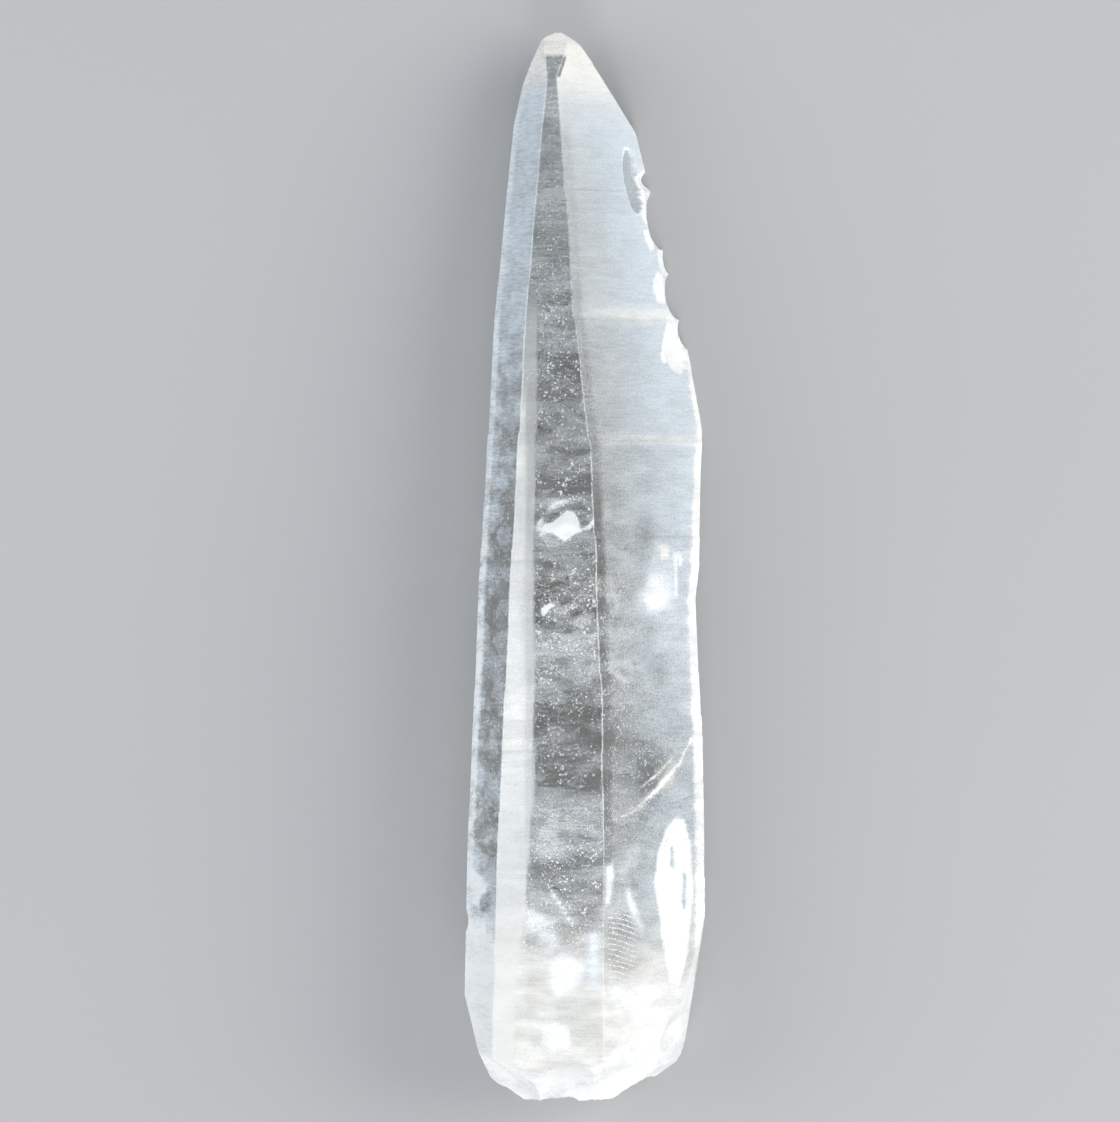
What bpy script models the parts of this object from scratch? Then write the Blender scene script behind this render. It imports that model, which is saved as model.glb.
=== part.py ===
"""A quartz crystal of the tapered lemurian habit, lying on its broad back face.

The crystal formed as one piece, so it is one closed solid: a six-sided prism whose faces lean in
towards the tip and end in steep terminal faces, with growth ledges across the faces, flakes broken
from one long edge and a broken root. +Y runs from the root to the tip along the crystal's own
axis, +Z is up and the back face rests at z = 0. Sizes are in millimetres until they are placed.
"""

import math

import bmesh
import bpy
from mathutils import Matrix, Vector

MM = 0.001
CRYSTAL = "quartz_crystal"
COLLECTION = "lemurian_quartz_crystal"

# Driving dimensions
LENGTH = 125.0  # root to tip
AXIS_HEIGHT = 8.5  # of the crystal's axis over the face that it rests on
CENTRE = (1.485, 62.5)  # x and y of the middle of the crystal's box, from the axis and the root
BLOCK = 60.0  # width of the block that the crystal is cut from
SHORTEST_EDGE = 0.01  # crystal edges that meet this closely are made one

# Each crystal face: the bearing of its outward normal, in degrees round the axis from straight
# up towards +X, then its distance from the axis at heights above the root. A face leans in more
# and more towards the tip, so each profile bends one way only.
FACES = {
    "front": (0.0, ((0, 11.9), (30, 11.55), (60, 10.0), (92, 7.1), (119.5, 2.25), (122.3, 0.35), (125, -1.5))),
    "right_front": (
        57.0,
        (
            (0, 11.3),
            (30, 11.1),
            (47, 10.3),
            (63, 9.1),
            (77, 7.6),
            (92, 5.1),
            (105, 2.75),
            (119, 0.1),
            (123.5, -0.85),
            (125, -1.7),
        ),
    ),
    "right_edge": (90.0, ((60, 16.2), (79, 14.5), (87, 12.8), (113.5, 6.15), (121, 2.1))),
    "right_back": (120.0, ((0, 16.4), (80, 16.4))),
    "back": (180.0, ((0, 8.5), (113.2, 8.5), (122.6, 3.05), (125, 1.62))),
    "left_back": (240.0, ((0, 9.15), (114.5, 9.65), (119, 8.35), (121.5, 6.6), (123.8, 4.5), (125, 3.4))),
    "left_front": (300.0, ((0, 12.5), (30, 11.7), (60, 9.9), (92, 7.3), (114, 4.3), (121.5, 3.15), (125, 2.6))),
}

# A face that stayed behind lower down, so that the crystal widens again above it: its distance from
# the axis at heights, up to where it meets the face's own profile.
SETBACKS = {
    "right_back": ((-5.0, 14.8), (42.0, 14.8), (50.0, 14.5), (58.5, 14.25), (63.0, 15.1), (73.0, 15.8), (78.0, 16.4)),
}

# The broken root: flat breaks, each a point that it passes through and the way that it faces.
BREAKS = (
    ((-11.3, 8.0, 8.0), (-0.95, -0.30, 0.10)),
    ((-8.6, 2.4, 12.0), (-0.52, -0.78, 0.34)),
    ((-3.0, 3.6, 20.0), (-0.10, -0.76, 0.64)),
    ((4.6, 3.6, 18.8), (0.42, -0.80, 0.42)),
    ((3.0, 0.0, 11.0), (0.08, -1.00, 0.06)),
    ((2.0, 3.4, 0.0), (-0.15, -0.86, -0.48)),
    ((8.8, 3.0, 9.0), (0.60, -0.80, 0.05)),
    ((13.1, 11.0, 8.0), (0.90, -0.42, 0.16)),
    ((14.9, 20.0, 6.5), (0.97, -0.22, 0.02)),
)

# Shallow hollows left by flakes: the point they are deepest over, the way they face, then their
# length, width and depth, and the tilt of their length from the crystal's axis in degrees.
EDGE_FLAKES = (
    ((6.2, 107.5, 3.0), (0.83, 0.15, 0.54), 9.2, 3.2, 0.62, 3),
    ((7.6, 108.0, 1.0), (0.98, 0.05, 0.20), 2.9, 4.0, 0.95, 0),
    ((8.3, 103.6, 0.8), (0.97, 0.00, -0.22), 6.6, 5.0, 0.95, 0),
    ((9.6, 99.2, 0.8), (0.95, 0.05, 0.30), 5.0, 4.0, 0.48, 0),
    ((10.7, 94.7, 0.7), (0.96, 0.00, -0.28), 5.8, 5.0, 1.10, 0),
    ((11.1, 87.9, 2.1), (0.84, 0.05, 0.54), 5.6, 3.8, 0.50, 18),
    ((12.1, 89.9, 0.5), (0.97, 0.20, -0.15), 4.4, 4.0, 0.85, 0),
)
ROOT_FLAKES = (
    ((-6.8, 2.2, 15.0), (-0.45, -0.74, 0.50), 13.0, 9.5, 1.00, 40),
    ((0.2, 1.6, 16.8), (0.10, -0.80, 0.58), 10.0, 7.0, 0.80, -25),
    ((7.8, 4.2, 12.5), (0.62, -0.68, 0.40), 14.0, 10.0, 1.20, 30),
    ((4.4, 0.7, 5.0), (0.22, -0.94, -0.26), 14.0, 10.0, 1.00, 70),
    ((-6.4, 2.6, 6.0), (-0.42, -0.88, -0.22), 13.0, 10.0, 0.90, 10),
    ((0.6, 0.2, 10.6), (0.05, -1.00, 0.10), 9.0, 5.5, 0.60, 60),
    ((12.4, 8.5, 8.0), (0.88, -0.45, 0.10), 9.0, 9.0, 0.85, 15),
    ((-12.2, 20.9, 11.1), (-0.98, 0.00, 0.20), 2.4, 4.0, 0.30, -6),
    ((-10.2, 18.3, 15.2), (-0.87, 0.00, 0.50), 4.6, 3.4, 0.35, 0),
    ((-10.1, 24.8, 15.1), (-0.87, 0.00, 0.50), 4.4, 2.4, 0.30, 12),
)
FLAKE_BOWL = 2.2  # a flake's rounding out from the face, as a share of its depth
FLAKE_DETAIL = 4  # subdivisions of the ball that a flake is cut with

# Growth ledges: the face, the heights where a step starts and dies out, and the step's depth.
LEDGES = (
    ("front", 41.0, 58.0, 0.16),
    ("front", 63.0, 71.0, 0.14),
    ("front", 72.5, 84.0, 0.20),
    ("front", 85.5, 91.0, 0.12),
    ("front", 97.0, 108.0, 0.14),
    ("right_front", 37.0, 46.0, 0.16),
    ("right_front", 50.0, 62.0, 0.20),
    ("right_front", 66.0, 76.0, 0.18),
    ("right_front", 77.3, 90.0, 0.30),
    ("right_front", 91.4, 103.0, 0.26),
    ("right_front", 106.5, 114.0, 0.14),
    ("left_front", 34.0, 44.0, 0.14),
    ("left_front", 48.0, 59.0, 0.18),
    ("left_front", 64.5, 75.0, 0.16),
    ("left_front", 78.0, 90.0, 0.22),
    ("left_front", 96.0, 104.0, 0.16),
    ("left_back", 44.0, 60.0, 0.16),
    ("left_back", 70.0, 88.0, 0.20),
    ("left_back", 92.0, 103.0, 0.14),
    ("right_back", 26.0, 40.0, 0.18),
    ("right_back", 45.0, 58.0, 0.22),
    ("right_back", 63.0, 72.0, 0.16),
)
LEDGE_LEAN = 1.27  # how far down a step runs for each unit that it goes out
CUTTER_HALF_WIDTH = 16.0  # past the sides of the widest face
CUTTER_REACH = 1.5  # how far a ledge's or a setback's cutter stands out of the face
LEDGE_OVERRUN = 4.0  # how far the cutter goes on past the height where the ledge dies out

CLEAR_QUARTZ = {
    "Base Color": (0.90, 0.93, 0.95, 1.0),
    "Metallic": 0.0,
    "Roughness": 0.22,
    "IOR": 1.544,
    "Transmission Weight": 0.75,
}


def placed(x, y, z):
    """A point of the crystal, from millimetres off its axis and root to metres in the scene."""
    return Vector((x - CENTRE[0], y - CENTRE[1], z)) * MM


def clear_scene():
    for obj in list(bpy.data.objects):
        bpy.data.objects.remove(obj, do_unlink=True)


def new_collection(name, cutters=False):
    collection = bpy.data.collections.new(name)
    bpy.context.scene.collection.children.link(collection)
    collection.hide_render = cutters
    return collection


def principled(name, settings):
    material = bpy.data.materials.new(name)
    material.use_nodes = True
    shader = material.node_tree.nodes["Principled BSDF"]
    for socket, value in settings.items():
        shader.inputs[socket].default_value = value
    return material


def add_mesh(name, mesh, collection):
    body = bpy.data.meshes.new(name)
    mesh.to_mesh(body)
    mesh.free()
    obj = bpy.data.objects.new(name, body)
    collection.objects.link(obj)
    return obj


def as_cutter(obj):
    obj.hide_render = True
    obj.display_type = "WIRE"
    return obj


def face_normal(bearing, lean=0.0):
    """The outward normal of a face that leans in by lean millimetres for each one along +Y."""
    turn = math.radians(bearing)
    return Vector((math.sin(turn), lean, math.cos(turn))).normalized()


def point_on_face(bearing, height, distance):
    out = face_normal(bearing)
    return (out.x * distance, height, AXIS_HEIGHT + out.z * distance)


def distance_at(face, height):
    """A face's distance from the axis at a height, read along its profile or its setback."""
    profile = SETBACKS.get(face, FACES[face][1])
    for (low, first), (high, second) in zip(profile, profile[1:]):
        if low <= height <= high:
            return first + (second - first) * (height - low) / (high - low)
    raise ValueError(f"no face at {height} mm")


def cut_flat(mesh, point, normal):
    """Removes what lies beyond a plane and closes the cut with one flat face."""
    everything = mesh.verts[:] + mesh.edges[:] + mesh.faces[:]
    cut = bmesh.ops.bisect_plane(mesh, geom=everything, plane_co=point, plane_no=normal, clear_outer=True)
    rim = [item for item in cut["geom_cut"] if isinstance(item, bmesh.types.BMEdge)]
    if rim:
        bmesh.ops.contextual_create(mesh, geom=rim)


def cut_crystal_faces(mesh):
    for bearing, profile in FACES.values():
        for (low, first), (high, second) in zip(profile, profile[1:]):
            lean = (first - second) / (high - low)
            cut_flat(mesh, placed(*point_on_face(bearing, low, first)), face_normal(bearing, lean))


def crystal_block():
    """The whole crystal before any flake is lost: a block cut down face by face."""
    mesh = bmesh.new()
    size = Matrix.Diagonal((BLOCK * MM, LENGTH * MM, BLOCK * MM, 1.0))
    bmesh.ops.create_cube(mesh, size=1.0, matrix=Matrix.Translation(placed(0, LENGTH / 2, 0)) @ size)
    cut_crystal_faces(mesh)
    for point, facing in BREAKS:
        cut_flat(mesh, placed(*point), Vector(facing).normalized())
    bmesh.ops.dissolve_degenerate(mesh, dist=SHORTEST_EDGE * MM, edges=mesh.edges)
    bmesh.ops.triangulate(mesh, faces=mesh.faces)
    bmesh.ops.recalc_face_normals(mesh, faces=mesh.faces)
    return mesh


def frame_facing(outward, tilt):
    """A turn whose Z faces outward and whose Y lies along the crystal, tilted by some degrees."""
    out = Vector(outward).normalized()
    across = Vector((0, 1, 0)).cross(out).normalized()
    along = out.cross(across)
    turn = Matrix((across, along, out)).transposed()
    return turn @ Matrix.Rotation(math.radians(tilt), 3, "Z")


def flake_cutter(name, flake, collection):
    """A ball, drawn out along the flake, that dips into the crystal by the flake's depth."""
    point, outward, length, width, depth, tilt = flake
    rise = FLAKE_BOWL * depth
    spread = 2.0 * math.sqrt(1.0 - (1.0 - 1.0 / FLAKE_BOWL) ** 2)
    turn = frame_facing(outward, tilt)
    middle = placed(*point) + turn @ Vector((0, 0, rise - depth)) * MM
    size = Matrix.Diagonal((width / spread * MM, length / spread * MM, rise * MM, 1.0))
    mesh = bmesh.new()
    bmesh.ops.create_icosphere(
        mesh, subdivisions=FLAKE_DETAIL, radius=1.0, matrix=Matrix.Translation(middle) @ turn.to_4x4() @ size
    )
    return as_cutter(add_mesh(name, mesh, collection))


def setback_cutter(name, face, profile, collection):
    """A block whose floor follows a setback's profile and whose top stands out of the face."""
    turn = frame_facing(face_normal(FACES[face][0]), 0)
    (foot, _), (top, clear) = profile[0], profile[-1]
    outline = [*profile, (top, clear + CUTTER_REACH), (foot, clear + CUTTER_REACH)]
    mesh = bmesh.new()
    rims = []
    for side in (-CUTTER_HALF_WIDTH, CUTTER_HALF_WIDTH):
        places = [(turn @ Vector((side, 0, distance)), height) for height, distance in outline]
        rims.append([mesh.verts.new(placed(place.x, height, AXIS_HEIGHT + place.z)) for place, height in places])
        mesh.faces.new(rims[-1])
    for k, (near, far) in enumerate(zip(*rims)):
        mesh.faces.new((rims[0][k - 1], near, far, rims[1][k - 1]))
    bmesh.ops.recalc_face_normals(mesh, faces=mesh.faces)
    return as_cutter(add_mesh(name, mesh, collection))


def ledge_cutter(name, ledge, collection):
    """A thin wedge that sets a face back by a step and runs out through the face higher up."""
    face, start, end, depth = ledge
    turn = frame_facing(face_normal(FACES[face][0]), 0)
    step = distance_at(face, start) - depth
    rise = (distance_at(face, end) - step) / (end - start)
    far = end + LEDGE_OVERRUN
    floors = {-1: (start, step), 1: (far, step + rise * (far - start))}
    mesh = bmesh.new()
    bmesh.ops.create_cube(mesh, size=2.0)
    for corner in mesh.verts:
        side, along, out = corner.co
        height, distance = floors[round(along)]
        if out > 0:
            distance += CUTTER_REACH
            height -= LEDGE_LEAN * CUTTER_REACH if along < 0 else 0.0
        place = turn @ Vector((side * CUTTER_HALF_WIDTH, 0, distance))
        corner.co = placed(place.x, height, AXIS_HEIGHT + place.z)
    return as_cutter(add_mesh(name, mesh, collection))


def cut_away(obj, cutter):
    cut = obj.modifiers.new(cutter.name, "BOOLEAN")
    cut.operation = "DIFFERENCE"
    cut.solver = "EXACT"
    cut.object = cutter


def main():
    clear_scene()
    parts = new_collection(COLLECTION)
    cutters = new_collection("cutters", cutters=True)
    crystal = add_mesh(CRYSTAL, crystal_block(), parts)
    crystal.data.materials.append(principled("clear_quartz", CLEAR_QUARTZ))
    for face, profile in SETBACKS.items():
        cut_away(crystal, setback_cutter(f"setback_{face}", face, profile, cutters))
    for number, ledge in enumerate(LEDGES, 1):
        cut_away(crystal, ledge_cutter(f"ledge_{number}", ledge, cutters))
    for number, flake in enumerate(EDGE_FLAKES + ROOT_FLAKES, 1):
        cut_away(crystal, flake_cutter(f"flake_{number}", flake, cutters))


main()
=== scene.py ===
"""The looks of a tapered quartz crystal: its striated skin, the veils and flakes in it, and its stage."""

import math

import bpy
import numpy as np
from bpy.props import FloatProperty, FloatVectorProperty, IntProperty, PointerProperty
from mathutils import Matrix, Vector


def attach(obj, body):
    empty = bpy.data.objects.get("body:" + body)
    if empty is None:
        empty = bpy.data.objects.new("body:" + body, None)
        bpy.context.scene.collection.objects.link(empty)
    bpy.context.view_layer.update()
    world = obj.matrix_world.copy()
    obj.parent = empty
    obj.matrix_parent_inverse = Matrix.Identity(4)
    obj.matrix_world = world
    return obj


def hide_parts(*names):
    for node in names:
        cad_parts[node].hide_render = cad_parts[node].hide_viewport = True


bl_info = {
    "name": "Lemurian Quartz Crystal",
    "version": (1, 0, 0),
    "blender": (4, 5, 0),
    "location": "View3D > Sidebar > Crystal",
    "description": "Builds a tapered quartz crystal with satin faces, inner veils and a broken root",
    "category": "Add Mesh",
}

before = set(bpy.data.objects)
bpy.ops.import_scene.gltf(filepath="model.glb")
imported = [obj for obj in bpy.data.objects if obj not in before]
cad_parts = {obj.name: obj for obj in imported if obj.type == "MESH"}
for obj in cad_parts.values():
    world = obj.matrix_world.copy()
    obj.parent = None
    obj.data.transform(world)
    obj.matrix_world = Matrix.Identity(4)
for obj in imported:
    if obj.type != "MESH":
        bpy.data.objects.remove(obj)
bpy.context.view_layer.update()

NODE = "quartz_crystal"

# The crystal in its own millimetres: x from its axis, y up its length from the root, z up from the floor
MM = 0.001
TINY = 1e-6  # lengths and angles under this count as none
LENGTH = 125.0
AXIS_HEIGHT = 8.5
CENTRE = (1.485, 62.5)
FLOOR_GAP = 0.02  # the skin stays this far over the floor that it rests on
SHARP_ANGLE = 24.0  # edges of the skin that turn by more degrees than this stay sharp

# The stage: what the camera looks at, in crystal millimetres, and the width of its film in millimetres
AIM = (-0.85, 63.0, 12.0)
SENSOR = 36.0
# Each light: its place in metres, how wide it is and its colour
LIGHTS = {
    "key": ((0.62, 0.10, 0.42), 0.55, (1.0, 0.99, 0.97)),
    "fill": ((-0.60, 0.05, 0.45), 0.6, (0.86, 0.92, 1.0)),
    "foot": ((0.12, -0.62, 0.36), 0.4, (1.0, 0.98, 0.97)),
}
SKY_AT_FOOT = (1.0, 1.0, 1.0, 1.0)
SKY_OVERHEAD = (0.62, 0.66, 0.70, 1.0)
FLOOR_RINGS = 8  # from the floor's middle out to its rim
FLOOR_SPOKES = 96  # round it

# Each crystal face: its bearing round the axis, from straight up towards +X, and its distance from
# the axis at heights above the root. The right edge is a sliver that the crystal only has higher up.
FACES = {
    "front": (0.0, (
        (0, 11.9), (30, 11.55), (60, 10.0), (92, 7.1), (119.5, 2.25), (122.3, 0.35), (125, -1.5),
    )),
    "right_front": (
        57.0,
        (
            (0, 11.3), (30, 11.1), (47, 10.3), (63, 9.1), (77, 7.6), (92, 5.1), (105, 2.75), (119, 0.1),
            (123.5, -0.85), (125, -1.7),
        ),
    ),
    "right_edge": (90.0, (
        (0, 21.5), (60, 16.2), (79, 14.5), (87, 12.8), (113.5, 6.15), (121, 2.1), (125, 0.1),
    )),
    "right_back": (120.0, (
        (0, 14.8), (42, 14.8), (50, 14.5), (58.5, 14.25), (63, 15.1), (73, 15.8), (78, 16.4), (125, 16.4),
    )),
    "back": (180.0, ((0, 8.5), (113.2, 8.5), (122.6, 3.05), (125, 1.62))),
    "left_back": (240.0, ((0, 9.15), (114.5, 9.65), (119, 8.35), (121.5, 6.6), (123.8, 4.5), (125, 3.4))),
    "left_front": (300.0, (
        (0, 12.5), (30, 11.7), (60, 9.9), (92, 7.3), (114, 4.3), (121.5, 3.15), (125, 2.6),
    )),
}
ORDER = tuple(FACES)

# The break at the root: planes, each a point and the direction that it faces
BREAKS = (
    ((-11.3, 8.0, 8.0), (-0.95, -0.30, 0.10)),
    ((-8.6, 2.4, 12.0), (-0.52, -0.78, 0.34)),
    ((-3.0, 3.6, 20.0), (-0.10, -0.76, 0.64)),
    ((4.6, 3.6, 18.8), (0.42, -0.80, 0.42)),
    ((3.0, 0.0, 11.0), (0.08, -1.00, 0.06)),
    ((2.0, 3.4, 0.0), (-0.15, -0.86, -0.48)),
    ((8.8, 3.0, 9.0), (0.60, -0.80, 0.05)),
    ((13.1, 11.0, 8.0), (0.90, -0.42, 0.16)),
    ((14.9, 20.0, 6.5), (0.97, -0.22, 0.02)),
)
# Flakes struck from the edges: point, facing, length, width, depth, turn in degrees, and how clear its
# hollow is
EDGE_FLAKES = (
    ((6.2, 108.2, 3.0), (0.83, 0.15, 0.54), 9.2, 3.2, 0.62, 3, 0.55),
    ((7.6, 108.0, 1.0), (0.98, 0.05, 0.20), 2.9, 4.0, 0.95, 0, 0.0),
    ((8.3, 103.6, 0.8), (0.97, 0.00, -0.22), 6.6, 5.0, 0.95, 0, 0.0),
    ((9.6, 99.2, 0.8), (0.95, 0.05, 0.30), 5.0, 4.0, 0.48, 0, 0.0),
    ((10.7, 94.7, 0.7), (0.96, 0.00, -0.28), 5.8, 5.0, 1.10, 0, 0.0),
    ((11.1, 87.9, 2.1), (0.84, 0.05, 0.54), 5.6, 3.8, 0.50, 18, 0.0),
    ((12.1, 89.9, 0.5), (0.97, 0.20, -0.15), 4.4, 4.0, 0.85, 0, 0.0),
    ((-12.2, 20.9, 11.1), (-0.98, 0.00, 0.20), 2.4, 4.0, 0.30, -6, 0.0),
    ((-10.2, 18.3, 15.2), (-0.87, 0.00, 0.50), 4.6, 3.4, 0.35, 0, 0.0),
    ((-10.1, 24.8, 15.1), (-0.87, 0.00, 0.50), 4.4, 2.4, 0.30, 12, 0.0),
)
# Flakes struck from the root: point, facing, length, width, depth, turn in degrees
ROOT_FLAKES = (
    ((-6.8, 2.2, 15.0), (-0.45, -0.74, 0.50), 13.0, 9.5, 1.00, 40),
    ((0.2, 1.6, 16.8), (0.10, -0.80, 0.58), 10.0, 7.0, 0.80, -25),
    ((7.8, 4.2, 12.5), (0.62, -0.68, 0.40), 14.0, 10.0, 1.20, 30),
    ((4.4, 0.7, 5.0), (0.22, -0.94, -0.26), 14.0, 10.0, 1.00, 70),
    ((-6.4, 2.6, 6.0), (-0.42, -0.88, -0.22), 13.0, 10.0, 0.90, 10),
    ((0.6, 0.2, 10.6), (0.05, -1.00, 0.10), 9.0, 5.5, 0.60, 60),
    ((12.4, 8.5, 8.0), (0.88, -0.45, 0.10), 9.0, 9.0, 0.85, 15),
)
LOWEST = 0.09  # the break's planes stop here, so that its hackle ends at the root's own reach
HACKLE = 0.06  # how high the fine ridges of the break are
HALVINGS = 26  # how often the interval that holds the rim is halved
FLAKE_BOWL = 2.2  # a flake's bowl is this many times as deep as the part of it that bites
STRUCK_TWICE = 2  # the flakes are struck this many times over, because one bowl can open into the next
CUT_RIM = 0.1  # how deep the cut is where a flake counts as wholly struck
HOLLOW = (0.2, 0.45)  # shares of its depth between which a flake turns clear

# Growth steps: face, heights where each starts and thins out to nothing, and its depth
LEDGES = (
    ("front", 41.0, 58.0, 0.16), ("front", 63.0, 71.0, 0.14), ("front", 72.5, 84.0, 0.20),
    ("front", 85.5, 91.0, 0.12), ("front", 97.0, 108.0, 0.14), ("right_front", 37.0, 46.0, 0.16),
    ("right_front", 50.0, 62.0, 0.20), ("right_front", 66.0, 76.0, 0.18),
    ("right_front", 77.3, 90.0, 0.30), ("right_front", 91.4, 103.0, 0.26),
    ("right_front", 106.5, 114.0, 0.14), ("left_front", 34.0, 44.0, 0.14),
    ("left_front", 48.0, 59.0, 0.18), ("left_front", 64.5, 75.0, 0.16),
    ("left_front", 78.0, 90.0, 0.22), ("left_front", 96.0, 104.0, 0.16),
    ("left_back", 44.0, 60.0, 0.16), ("left_back", 70.0, 88.0, 0.20), ("left_back", 92.0, 103.0, 0.14),
    ("right_back", 26.0, 40.0, 0.18), ("right_back", 45.0, 58.0, 0.22),
    ("right_back", 63.0, 72.0, 0.16),
)
LEDGE_SHARE = 0.55  # how much of a step shows, once etching has softened it
LEDGE_RUN = 1.27  # a step goes in over this many times its own depth
FINE_STEPS = ((2.9, 1.0), (1.35, 0.6), (0.74, 0.33))  # pitch, and share of the fine step's depth
FINE_FROM = (6.0, 20.0)  # over these heights the fine steps rise from nothing to their whole depth

# The grid of the skin
COLUMNS = {
    "front": 40, "right_front": 54, "right_edge": 8, "right_back": 22, "back": 22, "left_back": 24,
    "left_front": 28,
}
EDGE_OFFSETS = (0.0, 0.07, 0.2)  # where the columns beside a crystal edge stand, in from it
EDGE_SHARE = 0.2  # and on a narrow face, the share of its width that they take at the most
SECOND_WEAR = 0.25  # the second column from an edge is worn by this share of the first one's wear
TIP_ROUND = (123.9, 0.45)  # the tip is rounded off from this height, down to this share of its section
FULL_WIDTH = 0.5  # a face narrower than this is worn all the way across
DISC_ROWS = 42  # from the rim of the root's break to its middle
ROOT_ROWS = 38  # from the rim up to the first level row
# And these stand closer together by the rim: their share of the way is raised to this power
ROOT_ROW_EASE = 1.2
LEVEL_ROOT = 24.0  # the height of the first level row
ROW_STEPS = ((LEVEL_ROOT, 84.0, 0.36), (84.0, 113.0, 0.18), (113.0, LENGTH, 0.2))
ROW_GAP = 0.09  # no two rows are nearer than this


# ---------------------------------------------------------------- the crystal's form


def to_scene(points):
    """Crystal millimetres to the scene's metres."""
    return (np.asarray(points, float) - (CENTRE[0], CENTRE[1], 0.0)) * MM


def ledge_depth(face, height):
    """A face's growth steps: each drops in by its depth over a short run, then thins out evenly to
    nothing."""
    depth = np.zeros_like(height)
    for name, start, end, step in LEDGES:
        if name == face:
            levels = (start - LEDGE_RUN * step, start, end)
            rise = np.interp(height, levels, (0.0, step, 0.0), left=0.0, right=0.0)
            depth = np.maximum(depth, LEDGE_SHARE * rise)
    return depth


def fine_steps(face, height):
    """Fine growth steps: sawteeth of unlike pitch whose phase drifts up the crystal, so that no two
    faces match."""
    seed = ORDER.index(face)
    drift = np.sin(height * 0.31 + seed) + 0.6 * np.sin(height * 0.83 + 2.1 * seed)
    saw = sum(share * ((height / pitch + 0.9 * drift + 0.37 * seed) % 1.0) for pitch, share in FINE_STEPS)
    return saw * np.clip((height - FINE_FROM[0]) / (FINE_FROM[1] - FINE_FROM[0]), 0.0, 1.0)


def face_distances(height, step_depth):
    """Each face's distance from the axis at each height: its profile less its growth steps, a face per
    last axis."""
    rows = []
    for name, (_, profile) in FACES.items():
        levels, distances = np.array(profile, float).T
        distance = np.interp(height, levels, distances)
        if name != "back":
            distance = distance - ledge_depth(name, height) - step_depth * fine_steps(name, height)
        rows.append(distance)
    return np.stack(rows, axis=-1)


def drawn_in(distances):
    """Draws each face in until it touches the section. How far a section reaches along a face's normal
    is the least, over the pairs of faces either side of it, of how far along the normal that pair's own
    corner lies."""
    bearings = np.radians([FACES[name][0] for name in ORDER])
    reach = distances.copy()
    for k in range(len(ORDER)):
        for i in range(len(ORDER)):
            before = (bearings[k] - bearings[i]) % math.tau
            for j in range(len(ORDER)):
                after = (bearings[j] - bearings[k]) % math.tau
                if i != k and j != k and before + after < math.pi - TINY:
                    corner = distances[..., i] * math.sin(after) + distances[..., j] * math.sin(before)
                    reach[..., k] = np.minimum(reach[..., k], corner / math.sin(before + after))
    return reach


def section_corners(height, step_depth):
    """The corners of the section at each height: where each face's line crosses the line of the next
    face round."""
    distances = drawn_in(face_distances(height, step_depth))
    corners = []
    for k, name in enumerate(ORDER):
        following = (k + 1) % len(ORDER)
        a, b = math.radians(FACES[name][0]), math.radians(FACES[ORDER[following]][0])
        da, db = distances[..., k], distances[..., following]
        x = (db * math.cos(a) - da * math.cos(b)) / math.sin(b - a)
        z = (da * math.sin(b) - db * math.sin(a)) / math.sin(b - a)
        corners.append(np.stack([x, z], axis=-1))
    return np.stack(corners, axis=-2)


def column_places(length, count):
    """Where a face's columns stand, as shares of its width: close together by both edges, and even
    between."""
    offsets = np.array(EDGE_OFFSETS)
    near = np.minimum(offsets / np.maximum(length, TINY)[:, None], offsets / offsets[-1] * EDGE_SHARE)
    inner = np.linspace(0.0, 1.0, count - 2 * len(offsets) + 2)[1:-1]
    middle = near[:, -1:] + (1.0 - 2.0 * near[:, -1:]) * inner
    return np.concatenate([near, middle, 1.0 - near[:, ::-1]], axis=1)


def tip_share(height):
    """How much of its section the crystal keeps towards the tip, which is rounded off as part of an
    ellipse."""
    rise = np.clip((height - TIP_ROUND[0]) / (LENGTH - TIP_ROUND[0]), 0.0, 1.0)
    return np.sqrt(1.0 - (1.0 - TIP_ROUND[1] ** 2) * rise**2)


def side_points(height, step_depth, wear):
    """Points round the crystal on a grid of heights, rows by columns. Each face has a run of columns
    between its own two corners, and the columns by an edge are worn in towards the middle of the
    section. Also gives how far across its face each point is, how wide the face is there, and the
    middle of the section."""
    corners = section_corners(height, step_depth)
    middle = corners.mean(axis=-2)
    corners = middle[..., None, :] + (corners - middle[..., None, :]) * tip_share(height)[..., None, None]
    x, z, across, width = (np.empty_like(height) for _ in range(4))
    at = 0
    for k, name in enumerate(ORDER):
        run = slice(at, at + COLUMNS[name])
        start, end = corners[:, run, k - 1], corners[:, run, k]
        length = np.linalg.norm(end - start, axis=-1)
        share = column_places(length.mean(axis=1), COLUMNS[name])
        place = start + (end - start) * share[..., None]
        worn = np.zeros(COLUMNS[name])
        worn[:2] = worn[-2:][::-1] = (wear, SECOND_WEAR * wear)
        worn = wear + (worn - wear) * np.clip(length / FULL_WIDTH, 0.0, 1.0)
        inward = middle[:, run] - place
        inward /= np.maximum(np.linalg.norm(inward, axis=-1, keepdims=True), TINY)
        place = place + inward * worn[..., None]
        x[:, run], z[:, run] = place[..., 0], place[..., 1] + AXIS_HEIGHT
        across[:, run], width[:, run] = share * length, length
        at += COLUMNS[name]
    centre = np.stack([middle[..., 0], height, middle[..., 1] + AXIS_HEIGHT], axis=-1)
    return np.stack([x, height, z], axis=-1), across, width, centre


def flake_frame(facing, turn):
    """The three directions of a struck flake's bowl: across it, along it and out of it."""
    out = np.array(Vector(facing).normalized())
    across = np.cross((0.0, 1.0, 0.0), out)
    across /= np.linalg.norm(across)
    along = np.cross(out, across)
    c, s = math.cos(math.radians(turn)), math.sin(math.radians(turn))
    return np.stack([c * across + s * along, c * along - s * across, out])


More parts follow.
